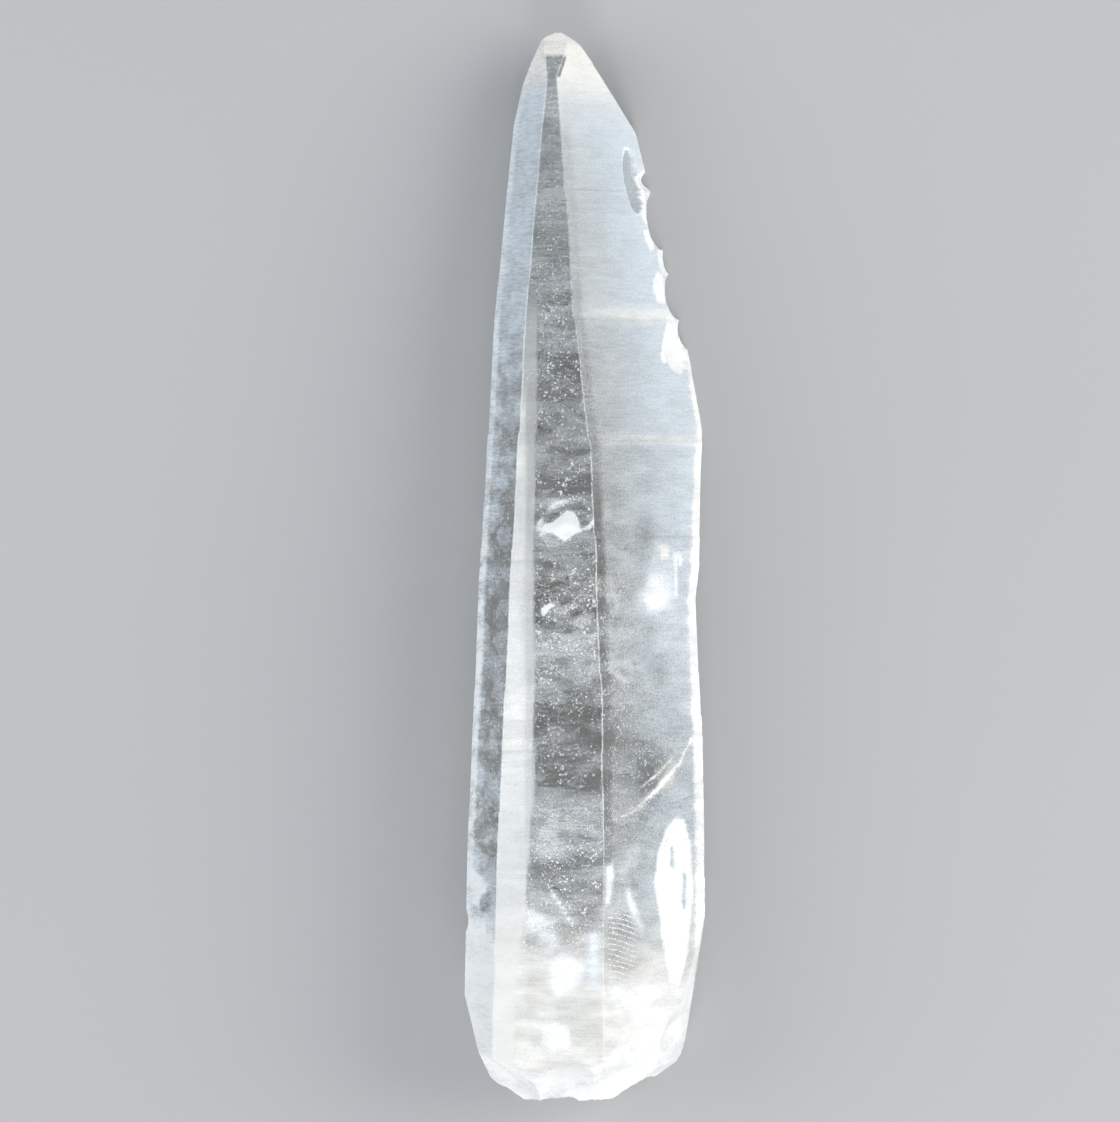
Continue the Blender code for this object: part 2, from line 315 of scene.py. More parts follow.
def flake_bowl(flake):
    """A flake's bowl: its centre, its three directions and its half sizes along them."""
    point, facing, length, width, depth, turn = flake[:6]
    axes = flake_frame(facing, turn)
    rise = FLAKE_BOWL * depth
    spread = 2.0 * math.sqrt(1.0 - (1.0 - 1.0 / FLAKE_BOWL) ** 2)
    half = np.array([width / spread, length / spread, rise])
    return np.array(point) + axes[2] * (rise - depth), axes, half


def struck(points, middle):
    """Points with the edge flakes struck off: a point inside a bowl goes level towards the middle of
    its section as far as the bowl's other side, so that the skin never folds. Also gives how struck and
    how clear each point is."""
    inward = middle - points
    inward /= np.linalg.norm(inward, axis=-1, keepdims=True)
    moved, cut, clear = (np.zeros(points.shape[:-1]) for _ in range(3))
    for flake in EDGE_FLAKES * STRUCK_TWICE:
        centre, axes, half = flake_bowl(flake)
        start = (points + moved[..., None] * inward - centre) @ axes.T / half
        step = inward @ axes.T / half
        a, b, c = (step**2).sum(-1), (start * step).sum(-1), (start**2).sum(-1) - 1.0
        way = np.where(c < 0.0, (-b + np.sqrt(np.clip(b * b - a * c, 0.0, None))) / a, 0.0)
        moved += way
        cut = np.maximum(cut, ramp(way, 0.0, CUT_RIM))
        clear = np.maximum(clear, flake[6] * ramp(way / flake[4], *HOLLOW))
    return points + moved[..., None] * inward, cut, clear


def root_height(x, z):
    """The height of the root's break over the section: the highest of its planes, with each struck bowl
    taken out by raising what is inside it to the bowl's upper side, and a low hackle over all."""
    height = np.full_like(x, LOWEST)
    for point, facing in BREAKS:
        nx, ny, nz = facing
        height = np.maximum(height, point[1] + (nx * (x - point[0]) + nz * (z - point[2])) / -ny)
    for flake in ROOT_FLAKES:
        centre, axes, half = flake_bowl(flake)
        scaled = axes / half[:, None]
        base = np.stack([x - centre[0], -np.full_like(x, centre[1]), z - centre[2]], axis=-1) @ scaled.T
        step = scaled[:, 1]
        a, b, c = (step**2).sum(), (base * step).sum(axis=-1), (base**2).sum(axis=-1) - 1.0
        inside = b * b - a * c
        reach = np.sqrt(np.clip(inside, 0.0, None))
        low, high = (-b - reach) / a, (-b + reach) / a
        height = np.where((inside > 0.0) & (low < height) & (high > height), high, height)
    hackle = np.sin(1.9 * x + 0.7 * z) * np.sin(1.3 * z - 0.8 * x) + 0.5 * np.sin(4.1 * x - 2.7 * z)
    return height + HACKLE * hackle


def rim_heights(step_depth, wear):
    """Where each column of the sides meets the root's break, found by halving an interval."""
    columns = sum(COLUMNS.values())
    low, high = np.full((1, columns), -1.0), np.full((1, columns), LEVEL_ROOT)
    for _ in range(HALVINGS):
        level = 0.5 * (low + high)
        place = side_points(level, step_depth, wear)[0]
        above = level > root_height(place[..., 0], place[..., 2])
        low, high = np.where(above, low, level), np.where(above, level, high)
    return high


def level_rows():
    """The heights of the level rows: even steps, with a row added at the top and foot of each growth
    step."""
    even = np.concatenate([np.arange(a, b - TINY, step) for a, b, step in ROW_STEPS] + [[LENGTH]])
    steps = np.array([h for _, start, _, depth in LEDGES for h in (start - LEDGE_RUN * depth, start)])
    steps = np.unique(np.round(steps, 3))
    steps = steps[np.concatenate([[True], np.diff(steps) > ROW_GAP])]
    free = np.abs(even[:, None] - steps).min(axis=1) > ROW_GAP
    free[[0, -1]] = True
    return np.sort(np.concatenate([even[free], steps[steps > LEVEL_ROOT + ROW_GAP]]))


def skin_grid(step_depth, wear):
    """The closed skin as one grid from the middle of the root to the tip: rows of the root's break,
    drawn from its middle out to its rim, then rows up the sides, then the middle of the tip. Also gives
    each point's place across its face, the face's width, and how struck and how clear it is there."""
    rim = rim_heights(step_depth, wear)
    share = np.linspace(0.0, 1.0, ROOT_ROWS + 1)[:-1, None] ** ROOT_ROW_EASE
    columns = sum(COLUMNS.values())
    level = np.repeat(level_rows()[:, None], columns, axis=1)
    rows = np.concatenate([rim + (LEVEL_ROOT - rim) * share, level])
    sides, across, width, centre = side_points(rows, step_depth, wear)
    sides, cut, clear = struck(sides, centre)
    edge = sides[0]
    middle = np.array([edge[:, 0].mean(), 0.0, edge[:, 2].mean()])
    out = np.linspace(0.0, 1.0, DISC_ROWS + 1)[:-1, None, None]
    disc = middle + (edge - middle) * out
    disc[..., 1] = root_height(disc[..., 0], disc[..., 2])
    tip = np.repeat(sides[-1].mean(axis=0)[None, None], columns, axis=1)
    points = np.concatenate([disc, sides, tip])
    points[..., 2] = np.maximum(points[..., 2], FLOOR_GAP)
    padded = [np.pad(a, ((DISC_ROWS, 1), (0, 0)), mode="edge") for a in (across, width, cut, clear)]
    return points, *padded


def inside(face, across, height, depth):
    """Places in the crystal: so far across a face from its left edge, at a height, and so far in from
    it."""
    k = ORDER.index(face)
    corners = section_corners(height, 0.0)
    start, end = corners[..., k - 1, :], corners[..., k, :]
    run = (end - start) / np.linalg.norm(end - start, axis=-1, keepdims=True)
    bearing = math.radians(FACES[face][0])
    out = np.array([math.sin(bearing), math.cos(bearing)])
    place = start + run * across[..., None] - out * depth[..., None]
    return np.stack([place[..., 0], height, place[..., 1] + AXIS_HEIGHT], axis=-1)


# ---------------------------------------------------------------- what lies inside the crystal

LENS_POINTS = 72  # round a sheet's outline
LENS_ROWS = 14  # from a sheet's middle out to its rim, on either side
EASE_ROUNDS = 3  # an outline's corners are averaged this often for each time that they are eased
SHEET_THICKNESS = 0.05  # from a sheet's middle surface out to either side
# Each sheet: the face that it lies under, its outline as places across the face, up it and in from it,
# how far its middle crowns outwards, how much it ripples, and how often its corners are eased
WHITE_FLAKES = (
    (
        "front",
        (
            (3.85, 66.9, 0.7), (6.7, 68.5, 0.5), (7.8, 67.9, 0.5), (7.8, 66.8, 0.6),
            (6.2, 65.5, 0.9), (5.2, 66.0, 0.9), (4.0, 66.1, 0.8),
        ),
        0.1, 0.0, 0,
    ),
    # The white flake low on the right face: a contact face whose full white is partly a painted blown-out
    # highlight
    (
        "right_front",
        (
            (12.0, 32.6, 0.7), (10.4, 31.4, 0.7), (9.1, 29.0, 0.8), (8.6, 25.5, 0.9), (9.6, 22.0, 0.9),
            (10.2, 18.5, 0.9), (11.5, 14.4, 0.8), (13.0, 13.8, 0.7), (14.2, 17.0, 0.6), (14.9, 24.0, 0.6),
            (14.4, 30.0, 0.6), (13.4, 32.6, 0.6),
        ),
        0.25, 0.12, 1,
    ),
    ("left_front", (
        (0.8, 21.4, 0.35), (4.6, 21.9, 0.5), (6.2, 19.5, 0.5), (4.8, 16.6, 0.5), (1.4, 16.2, 0.35),
    ), 0.1, 0.05, 1),
    ("left_front", ((1.6, 26.6, 0.4), (4.6, 25.6, 0.5), (5.8, 23.6, 0.5), (2.4, 22.8, 0.4)), 0.1, 0.1, 1),
)
VEILS = (
    (
        "right_front",
        (
            (9.4, 64.6, 1.6), (12.6, 65.0, 1.2), (14.6, 61.2, 0.9), (14.2, 57.2, 1.0),
            (11.0, 55.4, 1.4), (8.0, 57.2, 1.9), (7.4, 60.2, 2.0),
        ),
        0.5, 0.3, 3,
    ),
    ("right_front", (
        (7.2, 61.0, 1.0), (10.4, 62.0, 0.9), (11.2, 58.4, 0.9), (9.0, 57.0, 1.0), (7.0, 58.6, 1.2),
    ), 0.3, 0.3, 3),
    ("right_front", (
        (1.2, 60.0, 0.9), (4.6, 60.8, 0.9), (5.4, 57.0, 0.9), (2.2, 56.0, 0.9),
    ), 0.2, 0.3, 3),
    (
        "right_front",
        (
            (15.0, 42.6, 0.5), (13.9, 39.6, 0.6), (9.0, 36.4, 1.0), (4.6, 33.8, 1.4), (1.5, 32.9, 1.6),
            (1.4, 32.2, 1.9), (4.8, 32.5, 2.0), (9.5, 34.5, 1.8), (14.2, 37.8, 1.2), (15.4, 41.6, 0.8),
        ),
        0.2, 0.2, 2,
    ),
    ("right_front", (
        (1.0, 54.0, 1.2), (7.0, 54.6, 1.5), (9.0, 50.0, 1.6), (5.0, 46.0, 1.4), (1.2, 48.0, 1.2),
    ), 0.3, 0.4, 3),
    ("right_front", (
        (2.0, 31.0, 1.2), (7.6, 31.6, 1.6), (8.2, 24.0, 1.6), (5.0, 21.0, 1.4), (2.2, 24.0, 1.2),
    ), 0.3, 0.4, 3),
    ("front", (
        (3.4, 23.2, 0.8), (5.0, 22.6, 0.8), (8.0, 18.6, 1.2), (6.6, 17.4, 1.4), (4.0, 19.8, 1.2),
    ), 0.2, 0.2, 2),
    ("front", (
        (7.2, 19.2, 1.0), (11.4, 18.8, 1.2), (12.2, 14.6, 1.4), (10.6, 11.4, 1.4), (7.4, 11.8, 1.2),
    ), 0.3, 0.3, 2),
    ("front", ((4.6, 10.6, 0.8), (9.8, 10.2, 0.9), (10.4, 7.4, 1.2), (5.6, 6.6, 1.2)), 0.2, 0.2, 2),
    ("front", (
        (4.4, 60.6, 1.0), (10.6, 60.0, 1.2), (10.8, 53.6, 1.4), (6.8, 51.0, 1.6), (4.2, 54.6, 1.2),
    ), 0.4, 0.5, 3),
    ("front", (
        (3.6, 35.0, 1.0), (11.6, 34.6, 1.4), (11.2, 30.6, 2.0), (6.0, 29.4, 2.2), (3.8, 31.6, 1.4),
    ), 0.3, 0.4, 3),
    ("front", (
        (3.0, 16.4, 1.6), (11.8, 15.0, 2.6), (11.0, 5.6, 3.2), (5.0, 5.0, 3.0), (2.6, 9.4, 2.0),
    ), 0.6, 0.5, 3),
)
# Growth bands: height, and how much the band leans towards +X
GROWTH_BANDS = ((91.4, 0.05), (77.2, 0.035), (60.4, -0.05))
BAND_THICKNESS = 0.04  # from a band's middle surface out to either side
BAND_RIPPLE = 0.1  # how far a band's level rises and falls
BAND_FADE = 1.6  # how fast a band's colour grows from nothing at its rim
BAND_SHARE = 0.9  # a growth band reaches this far from the middle to the faces
SIDE_POINTS = 15  # how many points each side of a band has
LEAST_CORNER = 0.7  # corners of a section that are nearer than this are taken as one

# White bits: face, lowest and highest, how many, and their half size
BITS = (
    ("front", 104.0, 118.5, 430, 0.040), ("front", 87.0, 104.0, 1220, 0.048),
    ("front", 83.6, 87.0, 450, 0.062), ("front", 74.5, 83.6, 760, 0.053),
    ("front", 71.6, 74.5, 350, 0.070), ("front", 61.5, 71.6, 570, 0.053),
    ("front", 51.5, 61.5, 1350, 0.075), ("front", 46.0, 51.5, 650, 0.070),
    ("front", 35.5, 46.0, 1220, 0.057), ("front", 23.0, 35.5, 1080, 0.066),
    ("front", 10.0, 23.0, 680, 0.070), ("right_front", 46.0, 66.0, 680, 0.062),
    ("right_front", 18.0, 46.0, 950, 0.070), ("right_front", 66.0, 112.0, 680, 0.040),
    ("left_front", 26.0, 84.0, 1480, 0.057), ("left_front", 84.0, 112.0, 400, 0.040),
)
BIT_MARGIN = 0.5  # bits keep this far from their face's edges
SHALLOW_BITS = 0.7  # this share of them lies right under the skin
BIT_DEPTHS = (0.25, 2.4)  # the deep ones start this far in, and reach this much further
SHALLOW_DEPTHS = (0.02, 0.08)  # and the shallow ones lie between these
BIT_SIZES = (0.4, 1.0)  # the bits' sizes, as shares that are then raised to a power
BIT_SIZE_POWER = 1.5
BIT_GROWTH = (1.0, 1.0, 1.0, 1.0, 1.8)  # one bit in five is larger by so much
LEAST_CLEARANCE = 0.015  # bits that would lie nearer to the outside than this are left out
CRACKS = 30  # the ladder of short curved cracks at the foot of the right face
CRACK_HEIGHTS = (11.5, 23.0)
CRACK_JITTER = 0.12  # how far a crack strays up or down from its even place
CRACK_REACHES = (1.4, 3.1)  # half a crack's length lies between these
# A crack's middle: how far across the face at the foot, how much less a millimetre up, and how far astray
CRACK_CENTRES = (3.6, 0.16, 0.7)
CRACK_LEANS = (-0.25, 0.1)  # how much it climbs for each millimetre across
CRACK_BOWS = (0.2, 0.7)  # how far its middle bows down
CRACK_DEPTHS = (0.45, 0.15)  # how deep a crack's middle lies, and how much deeper its ends
CRACK_POINTS = 15  # along each
CRACK_SIDES = 6  # round each
CRACK_RADIUS = 0.045
CRACK_MARGIN = 0.5  # the cracks end this far from the face's left edge


def clearance(points):
    """How far inside the crystal each point lies, in millimetres: the least of how far it is from each
    face's plane, from the root's break and from the bowls struck off the edges."""
    x, height, z = np.moveaxis(points, -1, 0)
    bearings = np.radians([FACES[name][0] for name in ORDER])
    reach = x[..., None] * np.sin(bearings) + (z[..., None] - AXIS_HEIGHT) * np.cos(bearings)
    least = np.minimum((face_distances(height, 0.0) - reach).min(axis=-1), height - root_height(x, z))
    for flake in EDGE_FLAKES:
        centre, axes, half = flake_bowl(flake)
        outside = np.linalg.norm((points - centre) @ axes.T / half, axis=-1) - 1.0
        least = np.minimum(least, outside * half.min())
    return least


def eased_outline(outline, times):
    """A closed outline at even steps round it, its corners eased by averaging each point with its
    neighbours."""
    corners = np.array([*outline, outline[0]], float)
    length = np.concatenate([[0.0], np.cumsum(np.linalg.norm(np.diff(corners, axis=0), axis=1))])
    steps = np.linspace(0.0, length[-1], LENS_POINTS + 1)[:-1]
    loop = np.stack([np.interp(steps, length, column) for column in corners.T], axis=-1)
    for _ in range(EASE_ROUNDS * times):
        loop = 0.25 * np.roll(loop, 1, axis=0) + 0.5 * loop + 0.25 * np.roll(loop, -1, axis=0)
    return loop


def sheet_inside(face, outline, crown, ripple, times):
    """A thin closed sheet under a face: rows go from its middle out to its outline and back underneath.
    Its depth is the outline's, drawn evenly to the middle, less a crown that is one less the share
    outwards squared, and a ripple of crossed sines."""
    loop = eased_outline(outline, times)
    way = np.linspace(-1.0, 1.0, 2 * LENS_ROWS + 1)[:, None]
    share = 1.0 - np.abs(way)
    middle = loop.mean(axis=0)
    across, height, depth = np.moveaxis(middle + (loop - middle) * share[..., None], -1, 0)
    rise = 1.0 - share**2
    wave = np.sin(2.3 * across + 1.1 * height) * np.sin(1.9 * height - 0.7 * across)
    wave = wave + 0.4 * np.sin(5.1 * height)
    depth = depth - crown * rise + ripple * wave * rise + np.sign(way) * SHEET_THICKNESS * np.sqrt(rise)
    return inside(face, across, height, depth), rise + 0.0 * across


def growth_band(height, lean):
    """A thin closed sheet right across the crystal: rows go from its middle out to just inside the
    faces and back underneath. Its level is its height plus a lean and a ripple of crossed sines."""
    corners = section_corners(np.array([height]), 0.0)[0]
    spaced = np.linalg.norm(corners - np.roll(corners, -1, axis=0), axis=1) > LEAST_CORNER
    middle = corners.mean(axis=0)
    corners = middle + (corners[spaced] - middle) * BAND_SHARE
    ends = np.roll(corners, -1, axis=0)
    loop = np.concatenate([np.linspace(a, b, SIDE_POINTS + 1)[:-1] for a, b in zip(corners, ends)])
    way = np.linspace(-1.0, 1.0, 2 * LENS_ROWS + 1)[:, None]
    share = 1.0 - np.abs(way)
    x, z = np.moveaxis(middle + (loop - middle) * share[..., None], -1, 0)
    ripple = BAND_RIPPLE * np.sin(0.9 * x) * np.sin(0.7 * z)
    level = height + lean * (x - middle[0]) + ripple + BAND_THICKNESS * way
    fade = np.clip(BAND_FADE * (1.0 - share**2), 0.0, 1.0) + 0.0 * x
    return np.stack([x, level, z + AXIS_HEIGHT], axis=-1), fade


def white_bits(seed):
    """Hundreds of tiny flat diamonds strewn under the faces: four points round a waist and one at
    either side, each scaled and turned its own way."""
    rng = np.random.default_rng(seed)
    shape = np.array([(1, 0, 0), (0, 0.7, 0), (-1, 0, 0), (0, -0.7, 0), (0, 0, 0.3), (0, 0, -0.3)], float)
    faces = np.array([(a, (a + 1) % 4, 4) for a in range(4)] + [((a + 1) % 4, a, 5) for a in range(4)])
    places, sizes = [], []
    for face, low, high, count, size in BITS:
        height = rng.uniform(low, high, count)
        k = ORDER.index(face)
        corners = section_corners(height, 0.0)
        width = np.linalg.norm(corners[:, k] - corners[:, k - 1], axis=-1)
        across = BIT_MARGIN + rng.uniform(0.0, 1.0, count) * (width - 2.0 * BIT_MARGIN)
        deep = rng.uniform(0.0, 1.0, count) > SHALLOW_BITS
        far_in = BIT_DEPTHS[0] + BIT_DEPTHS[1] * rng.uniform(0.0, 1.0, count) ** 2
        depth = np.where(deep, far_in, rng.uniform(*SHALLOW_DEPTHS, count))
        places.append(inside(face, across, height, depth))
        share = rng.uniform(*BIT_SIZES, count) ** BIT_SIZE_POWER
        sizes.append(size * share * rng.choice(BIT_GROWTH, count))
    places, sizes = np.concatenate(places), np.concatenate(sizes)
    kept = clearance(places) > LEAST_CLEARANCE
    places, sizes = places[kept], sizes[kept]
    turn = np.linalg.qr(rng.normal(size=(len(places), 3, 3)))[0]
    turn[:, :, 0] *= np.sign(np.linalg.det(turn))[:, None]
    points = places[:, None] + sizes[:, None, None] * (shape @ turn.transpose(0, 2, 1))
    triangles = faces + 6 * np.arange(len(places))[:, None, None]
    return points.reshape(-1, 3), triangles.reshape(-1, 3)


def crack_tubes(seed):
    """The ladder of short curved cracks: each a level arc that bows downwards, swept by a thin ring
    that closes to a point at either end. One row of the grid goes round and the other along."""
    rng = np.random.default_rng(seed)
    start = np.linspace(*CRACK_HEIGHTS, CRACKS) + rng.uniform(-CRACK_JITTER, CRACK_JITTER, CRACKS)
    reach = rng.uniform(*CRACK_REACHES, CRACKS)
    foot, drift, astray = CRACK_CENTRES
    centre = foot - drift * (start - CRACK_HEIGHTS[0]) + rng.uniform(-astray, astray, CRACKS)
    lean, bow = rng.uniform(*CRACK_LEANS, CRACKS), rng.uniform(*CRACK_BOWS, CRACKS)
    along_it = np.linspace(-1.0, 1.0, CRACK_POINTS)[None, :, None]
    angle = np.linspace(0.0, math.tau, CRACK_SIDES + 1)[None, None, :-1]
    ring = CRACK_RADIUS * np.sqrt(np.clip(1.0 - along_it**2, 0.0, None))
    drawn = (start, reach, centre, lean, bow)
    start, reach, centre, lean, bow = (values[:, None, None] for values in drawn)
    across = np.maximum(centre + reach * along_it, CRACK_MARGIN) + 0.0 * angle
    height = start + lean * along_it * reach - bow * (1.0 - along_it**2) + ring * np.cos(angle)
    depth = CRACK_DEPTHS[0] + CRACK_DEPTHS[1] * along_it**2 + ring * np.sin(angle)
    return inside("right_front", across, height, depth)


# ---------------------------------------------------------------- meshes


WELD_PLACES = 5  # points coincide where they agree to this many decimal places of a millimetre


def grid_triangles(rows, columns, wrapped):
    """Two triangles for each cell of a grid of points, row by row. A wrapped grid's last column meets
    its first."""
    steps = columns if wrapped else columns - 1
    row, column = np.meshgrid(np.arange(rows - 1), np.arange(steps), indexing="ij")
    a = row * columns + column
    b = row * columns + (column + 1) % columns
    c, d = b + columns, a + columns
    first, second = np.stack([a, b, c], -1), np.stack([a, c, d], -1)
    return np.concatenate([first.reshape(-1, 3), second.reshape(-1, 3)])


def welded(points, triangles):
    """Points that coincide become one, and triangles that closed up with them go. Also gives which
    point each was."""
    places = np.round(points, WELD_PLACES)
    _, kept, index = np.unique(places, axis=0, return_index=True, return_inverse=True)
    triangles = index.reshape(-1)[triangles]
    a, b, c = triangles.T
    return points[kept], triangles[(a != b) & (b != c) & (c != a)], kept


def add_mesh(name, points, triangles, material, attributes=None, sharp=None):
    """A piece from arrays of points, in crystal millimetres, and triangles, with values on its points."""
    mesh = bpy.data.meshes.new(name)
    mesh.vertices.add(len(points))
    mesh.vertices.foreach_set("co", to_scene(points).astype(np.float32).ravel())
    mesh.loops.add(triangles.size)
    mesh.loops.foreach_set("vertex_index", triangles.astype(np.int32).ravel())
    mesh.polygons.add(len(triangles))
    mesh.polygons.foreach_set("loop_start", np.arange(0, triangles.size, 3, dtype=np.int32))
    mesh.update(calc_edges=True)
    if mesh.validate():
        raise RuntimeError(f"{name}: its mesh had faults")
    for key, values in (attributes or {}).items():
        values = values.astype(np.float32).ravel()
        mesh.attributes.new(key, "FLOAT", "POINT").data.foreach_set("value", values)
    mesh.shade_smooth()
    if sharp is not None:
        mesh.set_sharp_from_angle(angle=math.radians(sharp))
    mesh.materials.append(material)
    piece = bpy.data.objects.new(name, mesh)
    bpy.context.scene.collection.objects.link(piece)
    return piece


def joined(grids):
    """Several closed grids of points, with a value on each point, as one set of points, triangles and
    values. A grid that came out inside out is turned round."""
    all_points, all_triangles, all_values = [], [], []
    for points, values in grids:
        triangles = grid_triangles(*points.shape[:2], wrapped=True)
        points, triangles, kept = welded(points.reshape(-1, 3), triangles)
        a, b, c = (points[triangles[:, k]] for k in range(3))
        if (a * np.cross(b, c)).sum() < 0.0:
            triangles = triangles[:, ::-1]
        all_triangles.append(triangles + sum(map(len, all_points)))
        all_points.append(points)
        all_values.append(values.reshape(-1)[kept])
    return np.concatenate(all_points), np.concatenate(all_triangles), np.concatenate(all_values)


# ---------------------------------------------------------------- where the skin is satin


def bump(value, middle, half):
    """A smooth hill over value: one at its middle and nothing past its half width, falling as a squared
    cosine."""
    hill = np.cos((value - middle) / half * math.pi / 2.0) ** 2
    return np.where(np.abs(value - middle) < half, hill, 0.0)


def ramp(value, low, high):
    """An even rise from nothing at low to one at high, eased at both ends."""
    t = np.clip((value - low) / (high - low), 0.0, 1.0)
    return t * t * (3.0 - 2.0 * t)


def along(height, table):
    """Values read from pairs of height and value."""
    return np.interp(height, *np.array(table, float).T)


def within(outline, across, height, soft):
    """How far inside an outline each place is, from nothing to one over a soft rim: its distance to the
    nearest side, counted as negative where a line out of it crosses the sides an even number of
    times."""
    start = np.array(outline, float)
    side = np.roll(start, -1, axis=0) - start
    nearest, odd = np.full(across.shape, np.inf), np.zeros(across.shape, bool)
    for (x, y), (dx, dy) in zip(start, side):
        share = np.clip(((across - x) * dx + (height - y) * dy) / (dx * dx + dy * dy), 0.0, 1.0)
        nearest = np.minimum(nearest, np.hypot(across - x - share * dx, height - y - share * dy))
        if dy:
            odd ^= ((height < y) != (height < y + dy)) & (across < x + (height - y) / dy * dx)
    return ramp(np.where(odd, nearest, -nearest), -soft, soft)


def painted_refraction_band(height, across):
    """The share of the front face's painted refraction band, a cream white painted where the floor shows
    refracted through the face: whole to the left of its soft right side, and fading upwards."""
    edge = along(height, REFRACTION_BAND_EDGE)
    return ramp(height, 97.0, 90.0) * (1.0 - ramp(across, edge - 0.2, edge + 0.2))


# Gaps in the right face's cloud: how much clearer each is, and its middle and half width across and up
CLOUD_GAPS = (
    (0.30, (10.4, 3.2), (50.0, 3.4)),
    (0.30, (8.3, 3.6), (37.7, 4.4)),
    (0.20, (8.6, 2.4), (66.0, 2.6)),
    (0.22, (3.2, 4.6), (18.0, 8.0)),
    (0.20, (5.6, 3.0), (27.0, 5.0)),
)


def satin_front(height, across, width):
    """The narrow clear face: a window with a grainy patch under the tip, and a painted refraction band
    down its left side, a cream satin white that stands in for the floor seen refracted through it."""
    satin = along(
        height,
        (
            (0, 0.84), (8, 0.8), (13, 0.76), (16, 0.78), (19, 0.6), (24, 0.36), (31, 0.34), (35, 0.2),
            (38, 0.02), (45, 0.0), (48, 0.16), (50, 0.28), (53, 0.3), (56, 0.1), (60.5, 0.02),
            (61.5, 0.1), (64, 0.12), (65.5, 0.24), (70, 0.22), (72, 0.04), (74, 0.04), (75, 0.18),
            (82, 0.18), (84, 0.03), (86.5, 0.03), (88, 0.2), (94, 0.2), (108, 0.28), (115, 0.2),
            (119.4, 0.16), (119.7, 0.0), (122.1, 0.0), (122.4, 0.9), (125, 0.92),
        ),
    )
    satin += 0.18 * bump(across, 5.6, 3.6) * bump(height, 30.4, 3.4)
    # The band paints the floor's refracted image as cream satin: its satin, warm white and bright white
    # below are painted light
    band = painted_refraction_band(height, across)
    refraction_satin = band * along(height, (
        (0, 0.74), (20, 0.7), (30, 0.66), (38, 0.6), (45, 0.62), (52, 0.56), (60, 0.56), (82, 0.38),
        (95, 0.38),
    ))
    satin = np.maximum(satin, refraction_satin)
    warm = band * along(height, ((0, 0.6), (45, 0.4), (60, 0.5), (100, 0.5)))
    warm = np.maximum(warm, ramp(height, 122.0, 122.6))
    warm = np.maximum(warm, along(height, ((0, 0.9), (18, 0.8), (30, 0.3))))
    bright = band * along(height, (
        (0, 0.6), (20, 0.4), (38, 0.3), (44, 0.6), (50, 0.3), (56, 0.28), (62, 0.26), (72, 0.0),
    ))
    return satin, warm, np.maximum(bright, 0.3 * ramp(height, 16.0, 6.0))


def satin_right(height, across, width):
    """The broad satin face: clear in a strip by its left edge and in cloudy gaps lower down, with a
    painted glow of white by its right edge, and with two warm growth bands."""
    satin = along(
        height,
        (
            (0, 0.9), (11, 0.84), (18, 0.62), (23, 0.6), (28, 0.55), (34, 0.43), (42, 0.32), (48, 0.5),
            (54, 0.55), (60, 0.5), (66, 0.55), (72, 0.54), (80, 0.61), (88, 0.61), (92, 0.69),
            (98, 0.69), (104, 0.7), (110, 0.71), (116, 0.76), (120, 0.9), (125, 0.92),
        ),
    )
    tilt = along(height, ((10, 0.0), (30, 0.3), (45, 0.44), (108, 0.42), (118, 0.14), (122, 0.0)))
    share = across / np.maximum(width, 1.0)
    satin += tilt * (share - 0.5)
    for amount, over, up in CLOUD_GAPS:
        satin -= amount * bump(across, *over) * bump(height, *up)
    strip = 1.0 - ramp(across, 0.9, 2.1)
    satin *= 1.0 - strip * along(
        height,
        (
            (26, 0.0), (30, 0.4), (35, 0.85), (44, 0.85), (52, 0.75), (57, 0.7), (60, 0.7), (62.5, 1.0),
            (65, 0.95), (66, 0.5), (67.5, 1.0), (70, 0.95), (71.5, 0.5), (82, 0.35), (92, 0.3),
            (95, 0.45), (97, 0.2), (112, 0.2), (116, 0.0),
        ),
    )
    # rim: satin and bright white painted along the right edge, a painted glow that stands in for light
    # through the edge
    reach = along(height, ((40, 3.0), (63, 2.7), (70, 2.4), (78, 1.8), (90, 1.0), (112, 0.7)))
    rim = 0.9 * ramp(across, width - reach, width - 0.35 * reach) * ramp(height, 110.0, 105.0)
    bands = bump(height, 91.8, 1.8) + bump(height, 77.2, 1.1)
    satin = np.maximum(satin, rim) + 0.13 * bands * (1.0 - strip)
    patch = (1.0 - ramp(across, 0.4, 0.7)) * ramp(height, 119.5, 119.8) * ramp(height, 122.3, 122.0)
    satin *= 1.0 - patch
    warm = np.maximum(0.55 * bands, ramp(height, 113.0, 121.0) * 0.9)
    warm = np.maximum(warm, np.maximum(0.4 * ramp(share, 0.6, 0.0), 0.8 * ramp(height, 26.0, 14.0)))
    return satin, warm, np.maximum(rim, 0.8 * ramp(height, 24.0, 6.0) * ramp(across, 5.0, 10.0))


def satin_left(height, across, width):
    """The left face, seen at a low angle: satin towards the tip and along its outer edge, streaky lower
    down."""
    satin = along(
        height,
        (
            (0, 1.0), (15, 1.0), (21, 0.8), (32, 0.44), (45, 0.38), (55, 0.22), (63, 0.24), (72, 0.55),
            (76, 0.5), (79, 0.5), (86, 0.54), (92, 0.66), (96, 0.72), (104, 0.7), (112, 0.7),
            (117, 0.76), (125, 0.88),
        ),
    )
    outer = 1.0 - ramp(across, 1.5, 3.8)
    satin = np.maximum(satin, along(height, ((0, 0.95), (80, 0.85), (125, 0.85))) * outer)
    satin -= 0.18 * ramp(across, 3.5, 5.5) * ramp(height, 20.0, 30.0) * ramp(height, 90.0, 75.0)
    warm = 0.2 * outer + ramp(height, 116.0, 122.0) + 0.7 * ramp(height, 25.0, 12.0)
    bright = np.maximum(0.45 * outer * ramp(height, 90.0, 60.0), ramp(height, 25.0, 15.0))
    return satin, warm, bright


